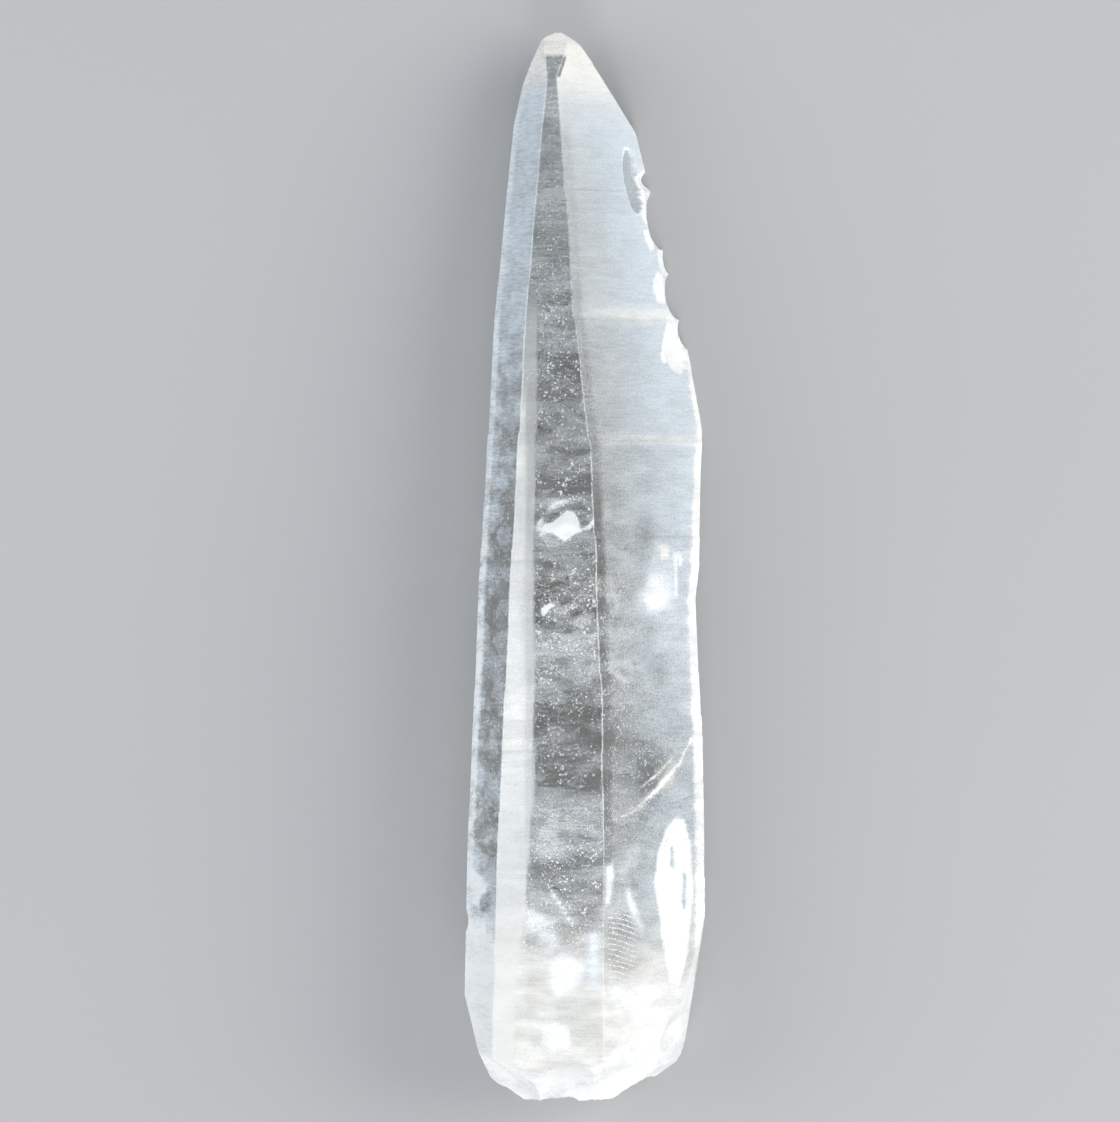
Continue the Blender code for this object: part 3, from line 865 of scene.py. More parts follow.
def satin_behind(height, across, width):
    """The faces below: an even satin with growth lines, whiter towards the root."""
    satin = along(height, ((0, 0.9), (14, 0.7), (40, 0.38), (100, 0.45), (118, 0.7), (125, 0.85)))
    return satin, np.full_like(height, 0.2), np.zeros_like(height)


def sliver_painted_glow(height, across, width):
    """The sliver down the right edge: painted white, a painted glow of the light through that edge."""
    return np.full_like(height, 0.95), np.zeros_like(height), np.full_like(height, 0.9)


SATIN = {
    "front": satin_front, "right_front": satin_right, "right_edge": sliver_painted_glow,
    "right_back": satin_behind, "back": satin_behind, "left_back": satin_behind, "left_front": satin_left,
}
# Where the painted refraction band ends across the front face, at heights
REFRACTION_BAND_EDGE = (
    (15, 2.6), (21, 3.4), (28, 3.8), (35, 4.0), (47, 3.6), (63, 2.7), (82, 1.9), (92, 1.5), (100, 0.2),
)
# Blotches: face, outline across it and up it, how white, how much satin, how warm, and how soft a rim
BLOTCHES = (
    # A white contact face low on the right face, painted at full white: partly its own white, partly a
    # painted blown-out highlight
    ("right_front", (
        (12.4, 32.9), (10.6, 31.6), (9.3, 29.0), (8.7, 25.5), (9.6, 22.0), (10.2, 18.5), (11.5, 14.2),
        (13.0, 13.6), (14.4, 17.0), (15.3, 24.0), (14.9, 30.0), (13.9, 32.8),
    ), 1.0, 0.5, 0.0, 0.3),
    ("right_front", ((11.5, 29.8), (12.1, 29.2), (12.0, 26.9), (11.4, 27.6)), -1.0, -0.7, 0.0, 0.3),
    ("right_front", ((13.6, 27.0), (14.3, 26.2), (14.1, 21.8), (13.4, 23.2)), -1.0, -0.7, 0.0, 0.3),
    ("right_front", (
        (6.7, 58.6), (7.4, 60.2), (8.8, 60.9), (10.6, 60.6), (11.2, 59.0), (10.6, 57.4), (8.6, 56.9),
        (7.2, 57.4),
    ), 0.3, 0.2, 0.0, 1.4),
    ("right_front", (
        (8.6, 59.6), (11.2, 59.4), (13.8, 57.4), (13.4, 55.4), (11.0, 55.4), (9.2, 57.0),
    ), 0.34, 0.14, 0.0, 1.2),
    ("right_front", ((8.0, 58.7), (9.6, 59.2), (10.2, 57.8), (9.0, 56.8)), 0.25, 0.08, 0.0, 0.4),
    ("right_front", (
        (8.6, 60.2), (8.8, 62.6), (10.6, 65.0), (12.2, 64.8), (13.6, 62.6), (13.6, 58.6), (11.4, 58.0),
    ), 0.34, 0.2, 0.0, 1.1),
    ("right_front", (
        (13.2, 64.6), (13.7, 64.0), (14.0, 61.6), (13.9, 58.8), (13.6, 58.8), (13.5, 61.8),
    ), 0.9, 0.3, 0.0, 0.3),
    ("right_front", ((14.0, 64.2), (14.7, 63.4), (14.8, 62.2), (14.2, 62.4)), 1.0, 0.3, 0.0, 0.25),
    ("right_front", ((11.0, 64.7), (12.6, 64.7), (12.5, 63.4), (11.2, 63.2)), 0.0, 0.15, 1.0, 0.4),
    ("right_front", (
        (15.2, 42.5), (13.2, 39.7), (9.2, 36.7), (4.8, 34.0), (1.4, 33.0), (1.4, 32.7), (4.9, 33.5),
        (9.5, 36.0), (13.6, 39.0), (15.4, 42.1),
    ), 0.75, 0.1, 0.9, 0.32),
    ("right_front", (
        (12.2, 40.4), (9.0, 38.2), (6.4, 36.8), (6.6, 36.4), (9.3, 37.6), (12.5, 39.8),
    ), 0.7, 0.1, 0.9, 0.3),
    ("right_front", ((8.6, 36.4), (12.4, 39.0), (12.6, 37.6), (10.4, 35.8)), 0.25, 0.12, 0.9, 0.8),
    ("right_front", (
        (0.3, 27.5), (1.6, 28.2), (1.8, 26.6), (1.2, 23.4), (0.3, 23.0),
    ), 0.9, 0.4, 0.3, 0.4),
    ("right_front", (
        (3.6, 24.8), (4.4, 24.9), (7.0, 20.4), (6.4, 19.6), (4.8, 21.4),
    ), 0.75, 0.3, 0.0, 0.5),
    ("right_front", (
        (1.2, 14.4), (4.0, 13.4), (7.0, 13.8), (8.8, 12.6), (6.4, 10.2), (2.0, 10.8),
    ), 0.62, 0.2, 0.5, 1.1),
    ("right_front", (
        (12.3, 107.2), (13.7, 106.8), (13.7, 102.3), (12.9, 103.2), (12.4, 105.2),
    ), 1.0, 0.5, 0.0, 0.2),
    ("right_front", (
        (12.9, 101.9), (13.8, 102.0), (14.6, 99.8), (14.0, 99.4), (13.3, 100.6),
    ), 1.0, 0.5, 0.2, 0.2),
    ("right_front", (
        (14.9, 97.0), (16.0, 96.6), (16.2, 93.3), (14.8, 93.5), (14.1, 94.9), (14.3, 96.0),
    ), 1.0, 0.5, 0.0, 0.2),
    ("right_front", (
        (16.3, 92.0), (17.4, 91.6), (17.4, 89.8), (16.0, 87.6), (14.5, 86.1), (14.0, 86.9), (15.0, 89.3),
    ), 1.0, 0.5, 0.1, 0.2),
    ("front", (
        (3.85, 66.9), (6.3, 68.9), (7.0, 68.6), (7.7, 67.5), (7.7, 66.5), (6.1, 65.4), (5.0, 66.1),
    ), 1.5, 0.5, 0.0, 0.5),
    ("front", (
        (2.3, 67.0), (3.2, 68.0), (4.2, 67.4), (4.4, 66.2), (3.2, 65.6), (2.6, 66.2),
    ), 0.7, 0.2, 0.0, 0.5),
    ("front", (
        (3.0, 67.6), (4.2, 69.9), (6.0, 70.6), (7.4, 69.6), (6.0, 69.3), (4.4, 68.6),
    ), 0.62, 0.16, 0.0, 0.5),
    ("front", (
        (7.3, 66.4), (8.6, 67.2), (9.4, 68.0), (9.9, 69.4), (10.3, 69.2), (10.0, 67.4), (8.9, 66.5),
    ), 0.85, 0.15, 0.0, 0.25),
    ("front", ((3.8, 57.5), (4.8, 58.2), (5.6, 57.9), (4.8, 57.4), (4.0, 56.4)), 1.1, 0.2, 0.0, 0.3),
    ("front", (
        (3.3, 22.6), (4.6, 23.2), (7.8, 19.4), (7.6, 18.0), (5.8, 18.6), (3.6, 20.6),
    ), 0.55, 0.26, 0.3, 0.6),
    ("front", ((5.5, 25.9), (6.2, 25.6), (9.4, 20.9), (8.8, 20.7)), 0.9, 0.2, 0.0, 0.2),
    ("front", (
        (6.8, 16.9), (8.0, 17.9), (9.4, 17.2), (10.8, 16.4), (10.4, 14.2), (8.8, 13.4), (7.6, 12.4),
        (6.4, 14.2),
    ), 0.5, 0.2, 0.5, 0.6),
    ("front", ((4.2, 14.6), (6.6, 14.2), (7.0, 12.6), (4.6, 11.8)), -0.1, -0.12, 0.9, 0.8),
    ("front", (
        (6.0, 8.8), (7.6, 9.2), (9.0, 8.4), (9.2, 6.8), (7.0, 6.4), (6.0, 7.2),
    ), 0.8, 0.3, 0.5, 0.4),
    ("front", ((11.0, 20.0), (12.2, 20.2), (12.3, 13.6), (11.2, 13.6)), 0.6, 0.3, 0.0, 0.5),
    ("left_front", (
        (1.6, 26.8), (4.6, 26.4), (8.2, 25.4), (5.4, 24.0), (4.4, 22.6), (2.2, 22.8),
    ), 1.0, 0.4, 0.0, 0.5),
    ("left_front", ((4.6, 23.6), (8.4, 24.6), (8.6, 22.4), (5.4, 21.8)), -0.5, -0.35, 0.0, 0.3),
    ("left_front", (
        (0.3, 20.8), (6.0, 21.0), (7.0, 19.6), (5.6, 16.6), (2.2, 16.5), (0.6, 18.2),
    ), 1.0, 0.4, 0.0, 0.5),
)
# How strongly each kind of mark shows on each face, at heights
MARKED = {
    "cloud": {
        "front": ((0, 0.2), (16, 0.25), (22, 0.4), (60, 0.4), (80, 0.3), (125, 0.15)),
        "right_front": ((0, 0.25), (45, 0.2), (62, 0.18), (78, 0.1), (125, 0.06)),
        "left_front": ((0, 0.15), (20, 0.2), (30, 0.6), (75, 0.55), (95, 0.2), (125, 0.08)),
        "others": ((0, 0.25), (125, 0.25)),
    },
    "lined": {
        "front": ((0, 0.05), (40, 0.12), (110, 0.1), (119, 0.12), (120, 0.3), (125, 0.1)),
        "right_front": ((0, 0.05), (60, 0.08), (80, 0.09), (125, 0.05)),
        "left_front": ((0, 0.15), (60, 0.25), (95, 0.22), (125, 0.18)),
        "others": ((0, 0.2), (125, 0.2)),
    },
    "grain": {
        "front": ((0, 0.08), (16, 0.1), (26, 0.25), (90, 0.2), (125, 0.15)),
        "right_front": ((0, 0.08), (14, 0.1), (26, 0.22), (60, 0.2), (80, 0.14), (125, 0.1)),
        "left_front": ((0, 0.2), (60, 0.3), (95, 0.14), (125, 0.08)),
        "others": ((0, 0.25), (125, 0.2)),
    },
    "dust": {
        "front": (
            (4, 0.2), (14, 0.45), (20, 0.9), (28, 0.9), (32, 0.6), (45, 0.6), (50, 0.8), (62, 0.85),
            (64, 0.6), (67, 0.7), (70, 0.85), (73, 0.75), (76, 0.6), (83, 0.65), (84.5, 0.75),
            (87, 0.7), (89, 0.6), (103, 0.6), (108, 0.4), (125, 0.4),
        ),
        "right_front": ((10, 0.2), (22, 0.6), (30, 0.5), (60, 0.6), (68, 0.25), (90, 0.15), (125, 0.05)),
        "left_front": ((10, 0.3), (28, 0.8), (45, 0.8), (80, 0.45), (100, 0.15), (125, 0.05)),
        "others": ((0, 0.3), (125, 0.3)),
    },
    "fibre": {
        "front": (
            (14, 0.0), (22, 0.3), (28, 0.0), (45, 0.0), (50, 0.7), (60, 0.75), (62, 0.3), (65, 0.1),
            (125, 0.0),
        ),
        "right_front": ((22, 0.0), (26, 0.2), (40, 0.2), (50, 0.6), (60, 0.5), (63, 0.1), (125, 0.0)),
        "left_front": ((20, 0.0), (30, 0.4), (60, 0.4), (80, 0.1), (100, 0.0)),
        "others": ((0, 0.0), (125, 0.0)),
    },
    "rung": {
        "right_front": ((9.5, 0.0), (11.0, 0.8), (22.0, 0.9), (23.5, 0.0), (125, 0.0)),
        "others": ((0, 0.0), (125, 0.0)),
    },
}
# Across the right face, the rungs start, reach full strength, begin to fade and end at these places
RUNGS_ACROSS = (0.2, 0.8, 5.2, 8.2)
EDGE_WEAR_AND_HIGHLIGHT_LINES = {  # how satin a worn edge is along a face's left and right side: partly wear, partly a painted highlight along the edge
    "front": (0.8, 0.4), "right_front": (0.3, 0.9), "left_front": (0.7, 0.8),
}
EDGE_LINE_WIDTH = 0.06
OTHER_EDGES = (0.6, 0.6)
REFRACTION_BAND_HIDES = 0.75  # how much of the marks the painted refraction band hides
HOLLOW_DULL = 1.5  # how fast a struck flake loses its bright white where its hollow is clear
# What the root's break shows of each, all over
ROOT_LOOK = {
    "satin": 1.0, "warm": 0.15, "bright": 1.0, "dust": 0.2, "cloud": 0.4, "lined": 0.1, "fibre": 0.6,
    "rung": 0.0, "grain": 0.3,
}


def skin_maps(points, across, width, cut, clear):
    """Values on each point of the skin's grid: how satin it is, how warm its white is, how bright a white
    it has, and how strongly each mark shows. A worn edge is a thin satin line, partly wear and partly a
    painted highlight, and a struck flake is white, or clear in its hollow. Part of the satin and white is
    painted light: the band down the front face paints a refracted image, and the right edge a glow."""
    maps = {name: np.zeros(points.shape[:-1]) for name in ("satin", "warm", "bright", *MARKED)}
    height = points[..., 1]
    at = 0
    for name in ORDER:
        run = slice(at, at + COLUMNS[name])
        up, over, wide = height[:, run], across[:, run], width[:, run]
        satin, warm, bright = SATIN[name](up, over, wide)
        for face, outline, white, more, warmer, soft in BLOTCHES:
            if face == name:
                share = within(outline, over, up, soft)
                satin, bright = satin + more * share, bright + white * share
                warm = warm * (1.0 - share) + warmer * share
        for near, strength in zip((over, wide - over), EDGE_WEAR_AND_HIGHLIGHT_LINES.get(name, OTHER_EDGES)):
            line = 1.0 - ramp(near, EDGE_LINE_WIDTH, 2.0 * EDGE_LINE_WIDTH)
            satin = np.maximum(satin, strength * line)
        maps["satin"][:, run], maps["warm"][:, run], maps["bright"][:, run] = satin, warm, bright
        for mark, tables in MARKED.items():
            maps[mark][:, run] = along(up, tables.get(name, tables["others"]))
        maps["rung"][:, run] *= np.interp(over, RUNGS_ACROSS, (0.0, 1.0, 1.0, 0.0))
        if name == "front":
            for mark in ("lined", "cloud", "dust", "grain", "fibre"):
                maps[mark][:, run] *= 1.0 - REFRACTION_BAND_HIDES * painted_refraction_band(up, over)
        at += COLUMNS[name]
    whole = 1.0 - cut
    maps["satin"] = maps["satin"] * whole + cut * (1.0 - clear)
    maps["bright"] = maps["bright"] * whole + cut * (1.0 - HOLLOW_DULL * clear)
    for name in ("warm", "dust", "fibre"):
        maps[name] *= whole
    for name, value in ROOT_LOOK.items():
        maps[name][:DISC_ROWS] = value
    return {name: np.clip(values, 0.0, 1.0) for name, values in maps.items()}


# ---------------------------------------------------------------- materials


def new_group(name, inputs, outputs):
    """An empty shader node group with number inputs, each with its own value, and outputs."""
    group = bpy.data.node_groups.new(name, "ShaderNodeTree")
    for label, value in inputs.items():
        socket = group.interface.new_socket(label, in_out="INPUT", socket_type="NodeSocketFloat")
        socket.default_value = value
    for label in outputs:
        group.interface.new_socket(label, in_out="OUTPUT", socket_type="NodeSocketFloat")
    return group, Wiring(group)


class Wiring:
    """Adds nodes to a tree, each with plain values or with links to other nodes' sockets."""

    def __init__(self, tree):
        self.tree = tree

    def node(self, kind, values=None, **settings):
        made = self.tree.nodes.new(kind)
        for key, value in settings.items():
            setattr(made, key, value)
        for key, value in (values or {}).items():
            if isinstance(value, bpy.types.NodeSocket):
                self.tree.links.new(value, made.inputs[key])
            else:
                made.inputs[key].default_value = value
        return made

    def maths(self, operation, *values, clamp=False):
        values = dict(enumerate(values))
        return self.node("ShaderNodeMath", values, operation=operation, use_clamp=clamp).outputs[0]

    def vector_maths(self, operation, values):
        return self.node("ShaderNodeVectorMath", values, operation=operation).outputs[0]

    def scaled(self, vector, scale):
        return self.node("ShaderNodeMapping", {"Vector": vector, "Scale": scale}).outputs[0]

    def mixed(self, share, first, second):
        made = self.node("ShaderNodeMix", data_type="RGBA")
        for key, value in (("Factor", share), ("A", first), ("B", second)):
            fitting = (s for s in made.inputs if s.name == key and s.enabled)
            socket = next(s for s in fitting if s.type in ("RGBA", "VALUE"))
            if isinstance(value, bpy.types.NodeSocket):
                self.tree.links.new(value, socket)
            else:
                socket.default_value = value
        return next(s for s in made.outputs if s.type == "RGBA")

    def ranged(self, value, low, high):
        """The value's share of the way from low to high, eased at both ends."""
        made = self.node("ShaderNodeMapRange", {"Value": value, "From Min": low, "From Max": high})
        made.interpolation_type = "SMOOTHSTEP"
        return made.outputs["Result"]

    def attribute(self, name):
        made = self.node("ShaderNodeAttribute", attribute_name=name, attribute_type="GEOMETRY")
        return made.outputs["Fac"]


# The scales across, up and through the crystal that draw the lines and patches out level
LINE_STRETCH = (0.12, 1.0, 0.12)
PATCH_STRETCH = (0.45, 1.0, 0.45)
NOISE_ROUGHNESS = 0.6
NOISE_SPREAD = (0.32, 0.68)  # the part of a noise's range that is spread out over a mark's whole range
DUST_BEND = 0.3  # how far the dust strays from its even cells, in millimetres
RELIEF_DEPTH = 0.02  # how deep the lines and the grain are cut, in millimetres
RELIEF_STRENGTH = 0.25  # and how much of that shows


def growth_marks():
    """The grain of grown quartz, on Object coordinates: fine level lines, cloudy patches, sugar grain,
    white dust, tangled white fibres and rungs of short curved cracks."""
    name = "growth_marks"
    if name in bpy.data.node_groups:
        return bpy.data.node_groups[name]
    inputs = {
        "Line Pitch": 0.26, "Patch Size": 2.4, "Grain Size": 0.17, "Dust Pitch": 0.3, "Fibre Size": 0.8,
        "Rung Pitch": 0.62,
    }
    outputs = ("Lines", "Patches", "Grain", "Dust", "Fibres", "Rungs", "Relief")
    group, wire = new_group(name, inputs, outputs)
    given = wire.node("NodeGroupInput").outputs
    place = wire.node("ShaderNodeTexCoord").outputs["Object"]
    per_mm = wire.scaled(place, (1.0 / MM,) * 3)
    flat = wire.scaled(per_mm, LINE_STRETCH)

    def noise(vector, size, detail, end="Fac"):
        scale = wire.maths("DIVIDE", 1.0, size)
        values = {"Vector": vector, "Scale": scale, "Detail": detail, "Roughness": NOISE_ROUGHNESS}
        return wire.node("ShaderNodeTexNoise", values).outputs[end]

    def spread(value):
        return wire.ranged(value, *NOISE_SPREAD)

    lines = spread(noise(flat, given["Line Pitch"], 1.0))
    level = wire.scaled(per_mm, PATCH_STRETCH)
    cloudy = noise(level, given["Patch Size"], 2.0)
    patches = spread(cloudy)
    grain = spread(noise(per_mm, given["Grain Size"], 0.0))
    shift = noise(per_mm, wire.maths("MULTIPLY", given["Dust Pitch"], 0.7), 0.0, "Color")
    bend = wire.vector_maths("SUBTRACT", {0: shift, 1: (0.5, 0.5, 0.5)})
    bend = wire.vector_maths("SCALE", {0: bend, "Scale": DUST_BEND})
    bent = wire.vector_maths("ADD", {0: per_mm, 1: bend})
    crowd = wire.ranged(noise(per_mm, wire.maths("MULTIPLY", given["Dust Pitch"], 5.0), 0.0), 0.35, 0.6)

    scale = wire.maths("DIVIDE", 1.0, given["Dust Pitch"])
    cells = wire.node("ShaderNodeTexVoronoi", {"Vector": bent, "Scale": scale})
    pick = wire.node("ShaderNodeSeparateColor", {"Color": cells.outputs["Color"]}).outputs[0]
    chance = wire.maths("MULTIPLY", pick, wire.maths("ADD", 0.7, wire.maths("MULTIPLY", crowd, 0.3)))
    radius = wire.maths("MULTIPLY", wire.ranged(chance, 0.2, 1.0), 0.5)
    dust = wire.ranged(wire.maths("SUBTRACT", radius, cells.outputs["Distance"]), 0.0, 0.06)
    ridge = wire.maths("ABSOLUTE", wire.maths("SUBTRACT", noise(bent, given["Fibre Size"], 1.0), 0.5))
    thread = wire.maths("SUBTRACT", 1.0, wire.ranged(ridge, 0.006, 0.03))
    fibres = wire.maths("MULTIPLY", thread, crowd)
    axes = wire.node("ShaderNodeSeparateXYZ", {"Vector": per_mm}).outputs
    arch = wire.maths("POWER", wire.maths("ABSOLUTE", wire.maths("SUBTRACT", axes[0], 2.6)), 2.0)
    sway = wire.maths("MULTIPLY", cloudy, 0.7)
    climb = wire.maths("ADD", wire.maths("ADD", axes[1], sway), wire.maths("MULTIPLY", arch, 0.06))
    turns = wire.maths("MULTIPLY", wire.maths("DIVIDE", climb, given["Rung Pitch"]), math.tau)
    waves = wire.maths("SINE", turns)
    rungs = wire.maths("MULTIPLY", wire.ranged(waves, 0.3, 0.95), wire.ranged(grain, 0.1, 0.5))
    relief = wire.maths("ADD", lines, wire.maths("MULTIPLY", grain, 0.35))
    wire.node("NodeGroupOutput", dict(zip(outputs, (lines, patches, grain, dust, fibres, rungs, relief))))
    return group


def new_material(name):
    """An empty node material, its wiring and its output node."""
    material = bpy.data.materials.new(name)
    material.use_nodes = True
    material.node_tree.nodes.clear()
    wire = Wiring(material.node_tree)
    return material, wire, wire.node("ShaderNodeOutputMaterial")


def marks_in(wire, **values):
    made = wire.node("ShaderNodeGroup", node_tree=growth_marks())
    for key, value in values.items():
        made.inputs[key.replace("_", " ").title()].default_value = value
    return made.outputs


def quartz_material(settings):
    """Clear quartz that turns satin where the skin says so: two shaders mixed by how satin the skin is
    there, with its growth lines, patches, grain and dust."""
    material, wire, output = new_material("clear_quartz")
    marks = marks_in(wire)
    share = wire.attribute("satin")
    for mark, name in (("Lines", "lined"), ("Patches", "cloud"), ("Grain", "grain")):
        swing = wire.maths("SUBTRACT", marks[mark], 0.5)
        share = wire.maths("ADD", share, wire.maths("MULTIPLY", swing, wire.attribute(name)))
    ragged = wire.maths("ADD", marks["Patches"], wire.maths("MULTIPLY", marks["Grain"], 0.8))
    ragged = wire.maths("MULTIPLY", wire.maths("SUBTRACT", ragged, 0.9), 0.2)
    white_share = wire.ranged(wire.maths("ADD", wire.attribute("bright"), ragged), 0.2, 0.85)
    uneven = wire.maths("ADD", 0.8, wire.maths("MULTIPLY", marks["Patches"], 0.2))
    white_share = wire.maths("MULTIPLY", white_share, uneven)
    for mark, name in (("Dust", "dust"), ("Fibres", "fibre"), ("Rungs", "rung")):
        shown = wire.maths("MULTIPLY", marks[mark], wire.attribute(name))
        white_share = wire.maths("MAXIMUM", white_share, shown)
    share = wire.maths("MAXIMUM", share, white_share, clamp=True)
    white = wire.mixed(wire.attribute("warm"), (*settings.cool_white, 1.0), (*settings.warm_white, 1.0))
    white = wire.mixed(white_share, white, (*settings.bright_white, 1.0))
    values = {"Height": marks["Relief"], "Distance": RELIEF_DEPTH * MM, "Strength": RELIEF_STRENGTH}
    relief = wire.node("ShaderNodeBump", values)
    clear = wire.node(
        "ShaderNodeBsdfPrincipled",
        {
            "Base Color": (*settings.clear_tint, 1.0), "Roughness": settings.clear_roughness,
            "IOR": settings.ior, "Transmission Weight": 1.0, "Normal": relief.outputs[0],
        },
    )
    frosted = wire.node(
        "ShaderNodeBsdfPrincipled",
        {
            "Base Color": white, "Roughness": settings.satin_roughness, "IOR": settings.ior,
            "Transmission Weight": settings.satin_transmission, "Normal": relief.outputs[0],
        },
    )
    both = wire.node("ShaderNodeMixShader", {0: share, 1: clear.outputs[0], 2: frosted.outputs[0]})
    values = {"Color": (*settings.inner_tint, 1.0), "Density": settings.inner_density}
    inside = wire.node("ShaderNodeVolumeAbsorption", values)
    wire.tree.links.new(both.outputs[0], output.inputs["Surface"])
    wire.tree.links.new(inside.outputs[0], output.inputs["Volume"])
    return material


def sheet_material(name, colour, cover, patch_size):
    """A healed crack: white scales that break up in patches and thin out to the sheet's rim."""
    material, wire, output = new_material(name)
    marks = marks_in(wire, patch_size=patch_size, grain_size=0.09)
    broken = wire.maths("ADD", marks["Patches"], wire.maths("MULTIPLY", marks["Grain"], 0.5))
    share = wire.maths("ADD", broken, wire.maths("SUBTRACT", wire.attribute("fade"), 1.0))
    whole = wire.ranged(share, 0.62 - 0.5 * cover, 0.95 - 0.5 * cover)
    alpha = wire.maths("MULTIPLY", whole, min(1.0, 0.35 + cover))
    values = {"Base Color": (*colour, 1.0), "Roughness": 0.4, "Alpha": alpha}
    shader = wire.node("ShaderNodeBsdfPrincipled", values)
    wire.tree.links.new(shader.outputs[0], output.inputs["Surface"])
    return material


def bit_material(colour):
    """White bits and cracks: matt white that the grain greys a little."""
    material, wire, output = new_material("white_bits")
    grain = marks_in(wire)["Grain"]
    shade = wire.mixed(grain, tuple(0.82 * c for c in colour) + (1.0,), (*colour, 1.0))
    shader = wire.node("ShaderNodeBsdfPrincipled", {"Base Color": shade, "Roughness": 0.35})
    wire.tree.links.new(shader.outputs[0], output.inputs["Surface"])
    return material


def floor_material(settings):
    """Matt painted board: an even pale grey with the faintest mottle."""
    material, wire, output = new_material("pale_board")
    place = wire.node("ShaderNodeTexCoord").outputs["Object"]
    values = {"Vector": place, "Scale": 9.0, "Detail": 3.0}
    mottle = wire.node("ShaderNodeTexNoise", values).outputs["Fac"]
    dark = tuple(0.94 * c for c in settings.floor_colour)
    colour = wire.mixed(mottle, (*dark, 1.0), (*settings.floor_colour, 1.0))
    shader = wire.node("ShaderNodeBsdfPrincipled", {"Base Color": colour, "Roughness": 0.8})
    wire.tree.links.new(shader.outputs[0], output.inputs["Surface"])
    return material


# ---------------------------------------------------------------- settings


class SkinSettings(bpy.types.PropertyGroup):
    """The sizes and the finish of the crystal's skin."""

    step_depth: FloatProperty(
        name="Fine Step Depth", description="How deep the fine growth steps are, in millimetres",
        default=0.03, min=0.0,
    )
    edge_wear: FloatProperty(
        name="Edge Wear", description="How far the crystal edges are worn in, in millimetres",
        default=0.05, min=0.0,
    )
    cool_white: FloatVectorProperty(
        name="Cool White", description="White of the satin faces",
        subtype="COLOR", default=(0.70, 0.785, 0.86),
    )
    warm_white: FloatVectorProperty(
        name="Warm White", description="White of the tip and of the growth bands",
        subtype="COLOR", default=(0.92, 0.895, 0.84),
    )
    # Bright white also paints the glow down the right edge, the refracted band down the front face and
    # the highlight on the white patch low on the right face
    bright_white: FloatVectorProperty(
        name="Bright White", description="White of the blotches, the right edge and the root",
        subtype="COLOR", default=(0.95, 0.955, 0.95),
    )
    clear_tint: FloatVectorProperty(
        name="Clear Tint", description="What the clear faces let through",
        subtype="COLOR", default=(0.885, 0.862, 0.828),
    )
    inner_tint: FloatVectorProperty(
        name="Inner Tint", description="What the inside lets through",
        subtype="COLOR", default=(0.89, 0.88, 0.86),
    )
    inner_density: FloatProperty(
        name="Inner Density", description="How strongly the inside takes light off, per metre",
        default=60.0, min=0.0,
    )
    clear_roughness: FloatProperty(
        name="Clear Roughness", description="Blur of the clear faces",
        subtype="FACTOR", default=0.05, min=0.0, max=1.0,
    )
    satin_roughness: FloatProperty(
        name="Satin Roughness", description="Blur of the satin faces",
        subtype="FACTOR", default=0.5, min=0.0, max=1.0,
    )
    satin_transmission: FloatProperty(
        name="Satin Transmission", description="How much of the light the satin lets on",
        subtype="FACTOR", default=0.35, min=0.0, max=1.0,
    )
    ior: FloatProperty(name="IOR", description="Refraction index of quartz", default=1.544)


class InsideSettings(bpy.types.PropertyGroup):
    """The look of what lies inside the crystal."""

    flake_colour: FloatVectorProperty(
        name="Flake Colour", description="White of the flakes and bits",
        subtype="COLOR", default=(0.93, 0.95, 0.96),
    )
    veil_colour: FloatVectorProperty(
        name="Veil Colour", description="White of the healed cracks",
        subtype="COLOR", default=(0.90, 0.92, 0.94),
    )
    band_colour: FloatVectorProperty(
        name="Band Colour", description="Colour of the growth bands",
        subtype="COLOR", default=(0.93, 0.86, 0.76),
    )
    flake_cover: FloatProperty(
        name="Flake Cover", description="How whole the flakes are",
        subtype="FACTOR", default=0.9, min=0.0, max=1.0,
    )
    veil_cover: FloatProperty(
        name="Veil Cover", description="How whole the veils are",
        subtype="FACTOR", default=0.3, min=0.0, max=1.0,
    )
    band_cover: FloatProperty(
        name="Band Cover", description="How whole the growth bands are",
        subtype="FACTOR", default=0.25, min=0.0, max=1.0,
    )
    seed: IntProperty(name="Seed", description="Which way the bits and cracks fall", default=7, min=0)


class StageSettings(bpy.types.PropertyGroup):
    """The floor, the lights and the camera."""

    camera_tilt: FloatProperty(
        name="Camera Tilt", description="How far the camera leans from straight above towards +X",
        subtype="ANGLE", default=math.radians(10.0),
    )
    camera_distance: FloatProperty(
        name="Camera Distance", description="From the camera to the crystal", unit="LENGTH", default=1.1,
    )
    view_width: FloatProperty(
        name="View Width", description="How wide the picture is at the crystal",
        unit="LENGTH", default=0.1311,
    )
    floor_colour: FloatVectorProperty(
        name="Floor Colour", description="Colour of the floor",
        subtype="COLOR", default=(0.34, 0.345, 0.35),
    )
    floor_radius: FloatProperty(
        name="Floor Radius", description="Reach of the floor", unit="LENGTH", default=2.0,
    )
    key_power: FloatProperty(
        name="Key Power", description="Light from the right", unit="POWER", default=5.0,
    )
    fill_power: FloatProperty(
        name="Fill Power", description="Light from the left", unit="POWER", default=3.1,
    )
    foot_power: FloatProperty(
        name="Foot Power", description="Light from the root's side", unit="POWER", default=2.9,
    )
    sky_strength: FloatProperty(name="Sky Strength", description="Light from all round", default=0.85)


# ---------------------------------------------------------------- pieces


def finish_piece(piece):
    """Every inner piece moves with the crystal."""
    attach(piece, "root")
    return piece


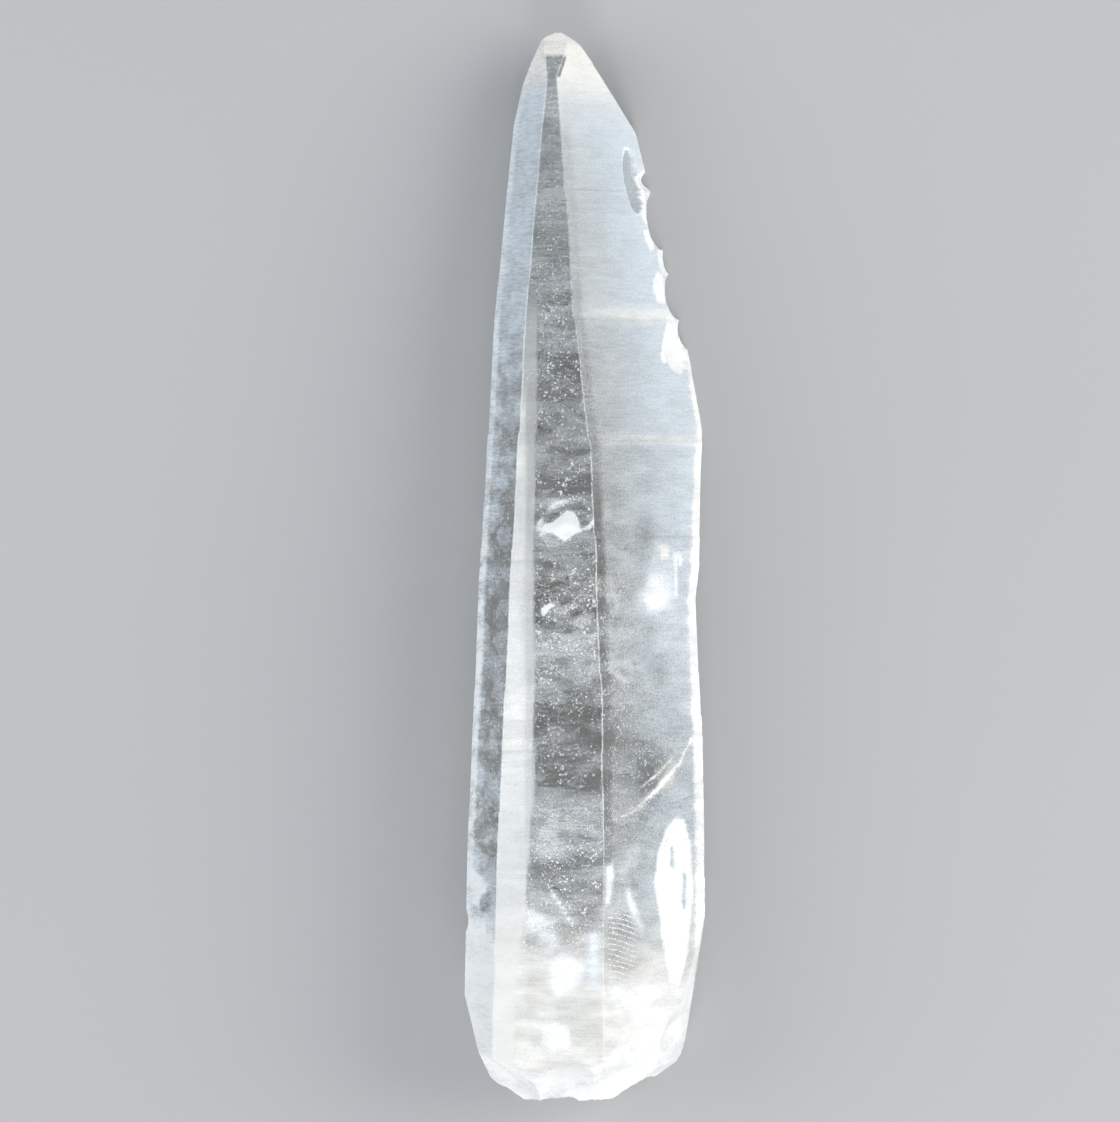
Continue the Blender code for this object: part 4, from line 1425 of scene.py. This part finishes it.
class CRYSTAL_OT_skin(bpy.types.Operator):
    """Build the crystal's closed skin: its faces with their growth steps, worn edges, struck flakes and
    broken root"""

    bl_idname = "crystal.skin"
    bl_label = "Build Skin"

    def execute(self, context):
        settings = context.scene.crystal_skin
        points, *placing = skin_grid(settings.step_depth, settings.edge_wear)
        maps = skin_maps(points, *placing)
        triangles = grid_triangles(*points.shape[:2], wrapped=True)
        points, triangles, kept = welded(points.reshape(-1, 3), triangles)
        maps = {name: values.reshape(-1)[kept] for name, values in maps.items()}
        material = quartz_material(settings)
        skin = add_mesh("crystal_skin", points, triangles, material, maps, sharp=SHARP_ANGLE)
        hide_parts(NODE)
        finish_piece(skin)
        return {"FINISHED"}


# Each kind of sheet: how it is made and from what, its name in the settings, and the size of its patches
SHEETS = {
    "white_flakes": (sheet_inside, WHITE_FLAKES, "flake", 1.6),
    "healed_veils": (sheet_inside, VEILS, "veil", 1.3),
    "growth_bands": (growth_band, GROWTH_BANDS, "band", 2.0),
}


class CRYSTAL_OT_sheets(bpy.types.Operator):
    """Lay the white flakes, the healed veils and the growth bands inside the crystal"""

    bl_idname = "crystal.sheets"
    bl_label = "Lay Sheets"

    def execute(self, context):
        settings = context.scene.crystal_inside
        for name, (make, rows, kind, patch_size) in SHEETS.items():
            points, triangles, fade = joined([make(*row) for row in rows])
            colour, cover = getattr(settings, f"{kind}_colour"), getattr(settings, f"{kind}_cover")
            material = sheet_material(name, colour, cover, patch_size)
            finish_piece(add_mesh(name, points, triangles, material, {"fade": fade}))
        return {"FINISHED"}


class CRYSTAL_OT_bits(bpy.types.Operator):
    """Strew the white bits under the faces and sweep the ladder of short cracks"""

    bl_idname = "crystal.bits"
    bl_label = "Strew Bits"

    def execute(self, context):
        settings = context.scene.crystal_inside
        material = bit_material(settings.flake_colour)
        finish_piece(add_mesh("white_bits", *white_bits(settings.seed), material))
        arcs = crack_tubes(settings.seed)
        points, triangles, _ = joined([(arc, np.zeros(arc.shape[:2])) for arc in arcs])
        finish_piece(add_mesh("ladder_cracks", points, triangles, material))
        return {"FINISHED"}


class CRYSTAL_OT_stage(bpy.types.Operator):
    """Set the floor, the soft lights, the sky and the camera that looks down on the crystal"""

    bl_idname = "crystal.stage"
    bl_label = "Set Stage"

    def execute(self, context):
        settings = context.scene.crystal_stage
        add_floor(settings)
        for name, (place, size, colour) in LIGHTS.items():
            add_area_light(name, place, size, getattr(settings, f"{name}_power"), colour)
        add_sky(context.scene, settings.sky_strength)
        add_camera(context.scene, settings)
        context.scene.view_settings.view_transform = "Standard"
        return {"FINISHED"}


def add_floor(settings):
    """A round floor as rings of points about its middle, radius by angle, at the height that the
    crystal lies at."""
    radius = np.linspace(0.0, settings.floor_radius, FLOOR_RINGS + 1)[1:, None]
    angle = np.linspace(0.0, math.tau, FLOOR_SPOKES + 1)[:-1]
    rings = np.stack([radius * np.cos(angle), radius * np.sin(angle), 0.0 * radius * angle], axis=-1)
    centre = np.zeros((1, len(angle), 3))
    points = np.concatenate([centre, rings])[::-1] / MM + (*CENTRE, 0.0)
    points, triangles, _ = welded(points.reshape(-1, 3), grid_triangles(*points.shape[:2], wrapped=True))
    add_mesh("floor", points, triangles, floor_material(settings))


def add_area_light(name, place, size, power, colour):
    light = bpy.data.lights.new(name, "AREA")
    light.shape, light.size = "DISK", size
    light.energy, light.color = power, colour
    lamp = bpy.data.objects.new(name, light)
    lamp.location = place
    lamp.rotation_euler = (-Vector(place)).to_track_quat("-Z", "Y").to_euler()
    bpy.context.scene.collection.objects.link(lamp)


def add_sky(scene, strength):
    """An even sky a little brighter at its foot than overhead, so that level faces keep their depth."""
    world = bpy.data.worlds.new("soft_sky")
    world.use_nodes = True
    world.node_tree.nodes.clear()
    wire = Wiring(world.node_tree)
    way = wire.node("ShaderNodeTexCoord").outputs["Generated"]
    up = wire.node("ShaderNodeSeparateXYZ", {"Vector": way}).outputs["Z"]
    colour = wire.mixed(wire.ranged(up, 0.1, 1.0), SKY_AT_FOOT, SKY_OVERHEAD)
    background = wire.node("ShaderNodeBackground", {"Color": colour, "Strength": strength})
    wire.node("ShaderNodeOutputWorld", {"Surface": background.outputs[0]})
    scene.world = world


def add_camera(scene, settings):
    """A long lens that leans from straight above towards +X, with the crystal's length up the picture."""
    tilt = settings.camera_tilt
    back = Vector((math.sin(tilt), 0.0, math.cos(tilt)))
    right = Vector((math.cos(tilt), 0.0, -math.sin(tilt)))
    turn = Matrix((right, back.cross(right), back)).transposed()
    camera = bpy.data.cameras.new("camera")
    camera.sensor_width = SENSOR
    camera.lens = SENSOR * settings.camera_distance / settings.view_width
    camera.clip_start = 0.01
    holder = bpy.data.objects.new("camera", camera)
    place = Vector(to_scene(AIM)) + back * settings.camera_distance
    holder.matrix_world = Matrix.Translation(place) @ turn.to_4x4()
    scene.collection.objects.link(holder)
    scene.camera = holder


class CRYSTAL_PT_panel(bpy.types.Panel):
    """The settings and the steps, in the order that they are run"""

    bl_idname = "CRYSTAL_PT_panel"
    bl_label = "Quartz Crystal"
    bl_space_type = "VIEW_3D"
    bl_region_type = "UI"
    bl_category = "Crystal"

    def draw(self, context):
        for key, cls in SETTINGS.items():
            box = self.layout.box()
            for name in cls.__annotations__:
                box.prop(getattr(context.scene, key), name)
        for step in STEPS:
            self.layout.operator(step.bl_idname)


STEPS = (CRYSTAL_OT_stage, CRYSTAL_OT_skin, CRYSTAL_OT_sheets, CRYSTAL_OT_bits)
SETTINGS = {
    "crystal_skin": SkinSettings, "crystal_inside": InsideSettings, "crystal_stage": StageSettings,
}


def register():
    for cls in (*SETTINGS.values(), *STEPS, CRYSTAL_PT_panel):
        bpy.utils.register_class(cls)
    for name, cls in SETTINGS.items():
        setattr(bpy.types.Scene, name, PointerProperty(type=cls))


def unregister():
    for name in SETTINGS:
        delattr(bpy.types.Scene, name)
    for cls in (CRYSTAL_PT_panel, *reversed(STEPS), *reversed(SETTINGS.values())):
        bpy.utils.unregister_class(cls)


def main():
    """Run every step in order."""
    register()
    bpy.ops.crystal.stage()
    bpy.ops.crystal.skin()
    bpy.ops.crystal.sheets()
    bpy.ops.crystal.bits()


if __name__ == "__main__":
    main()
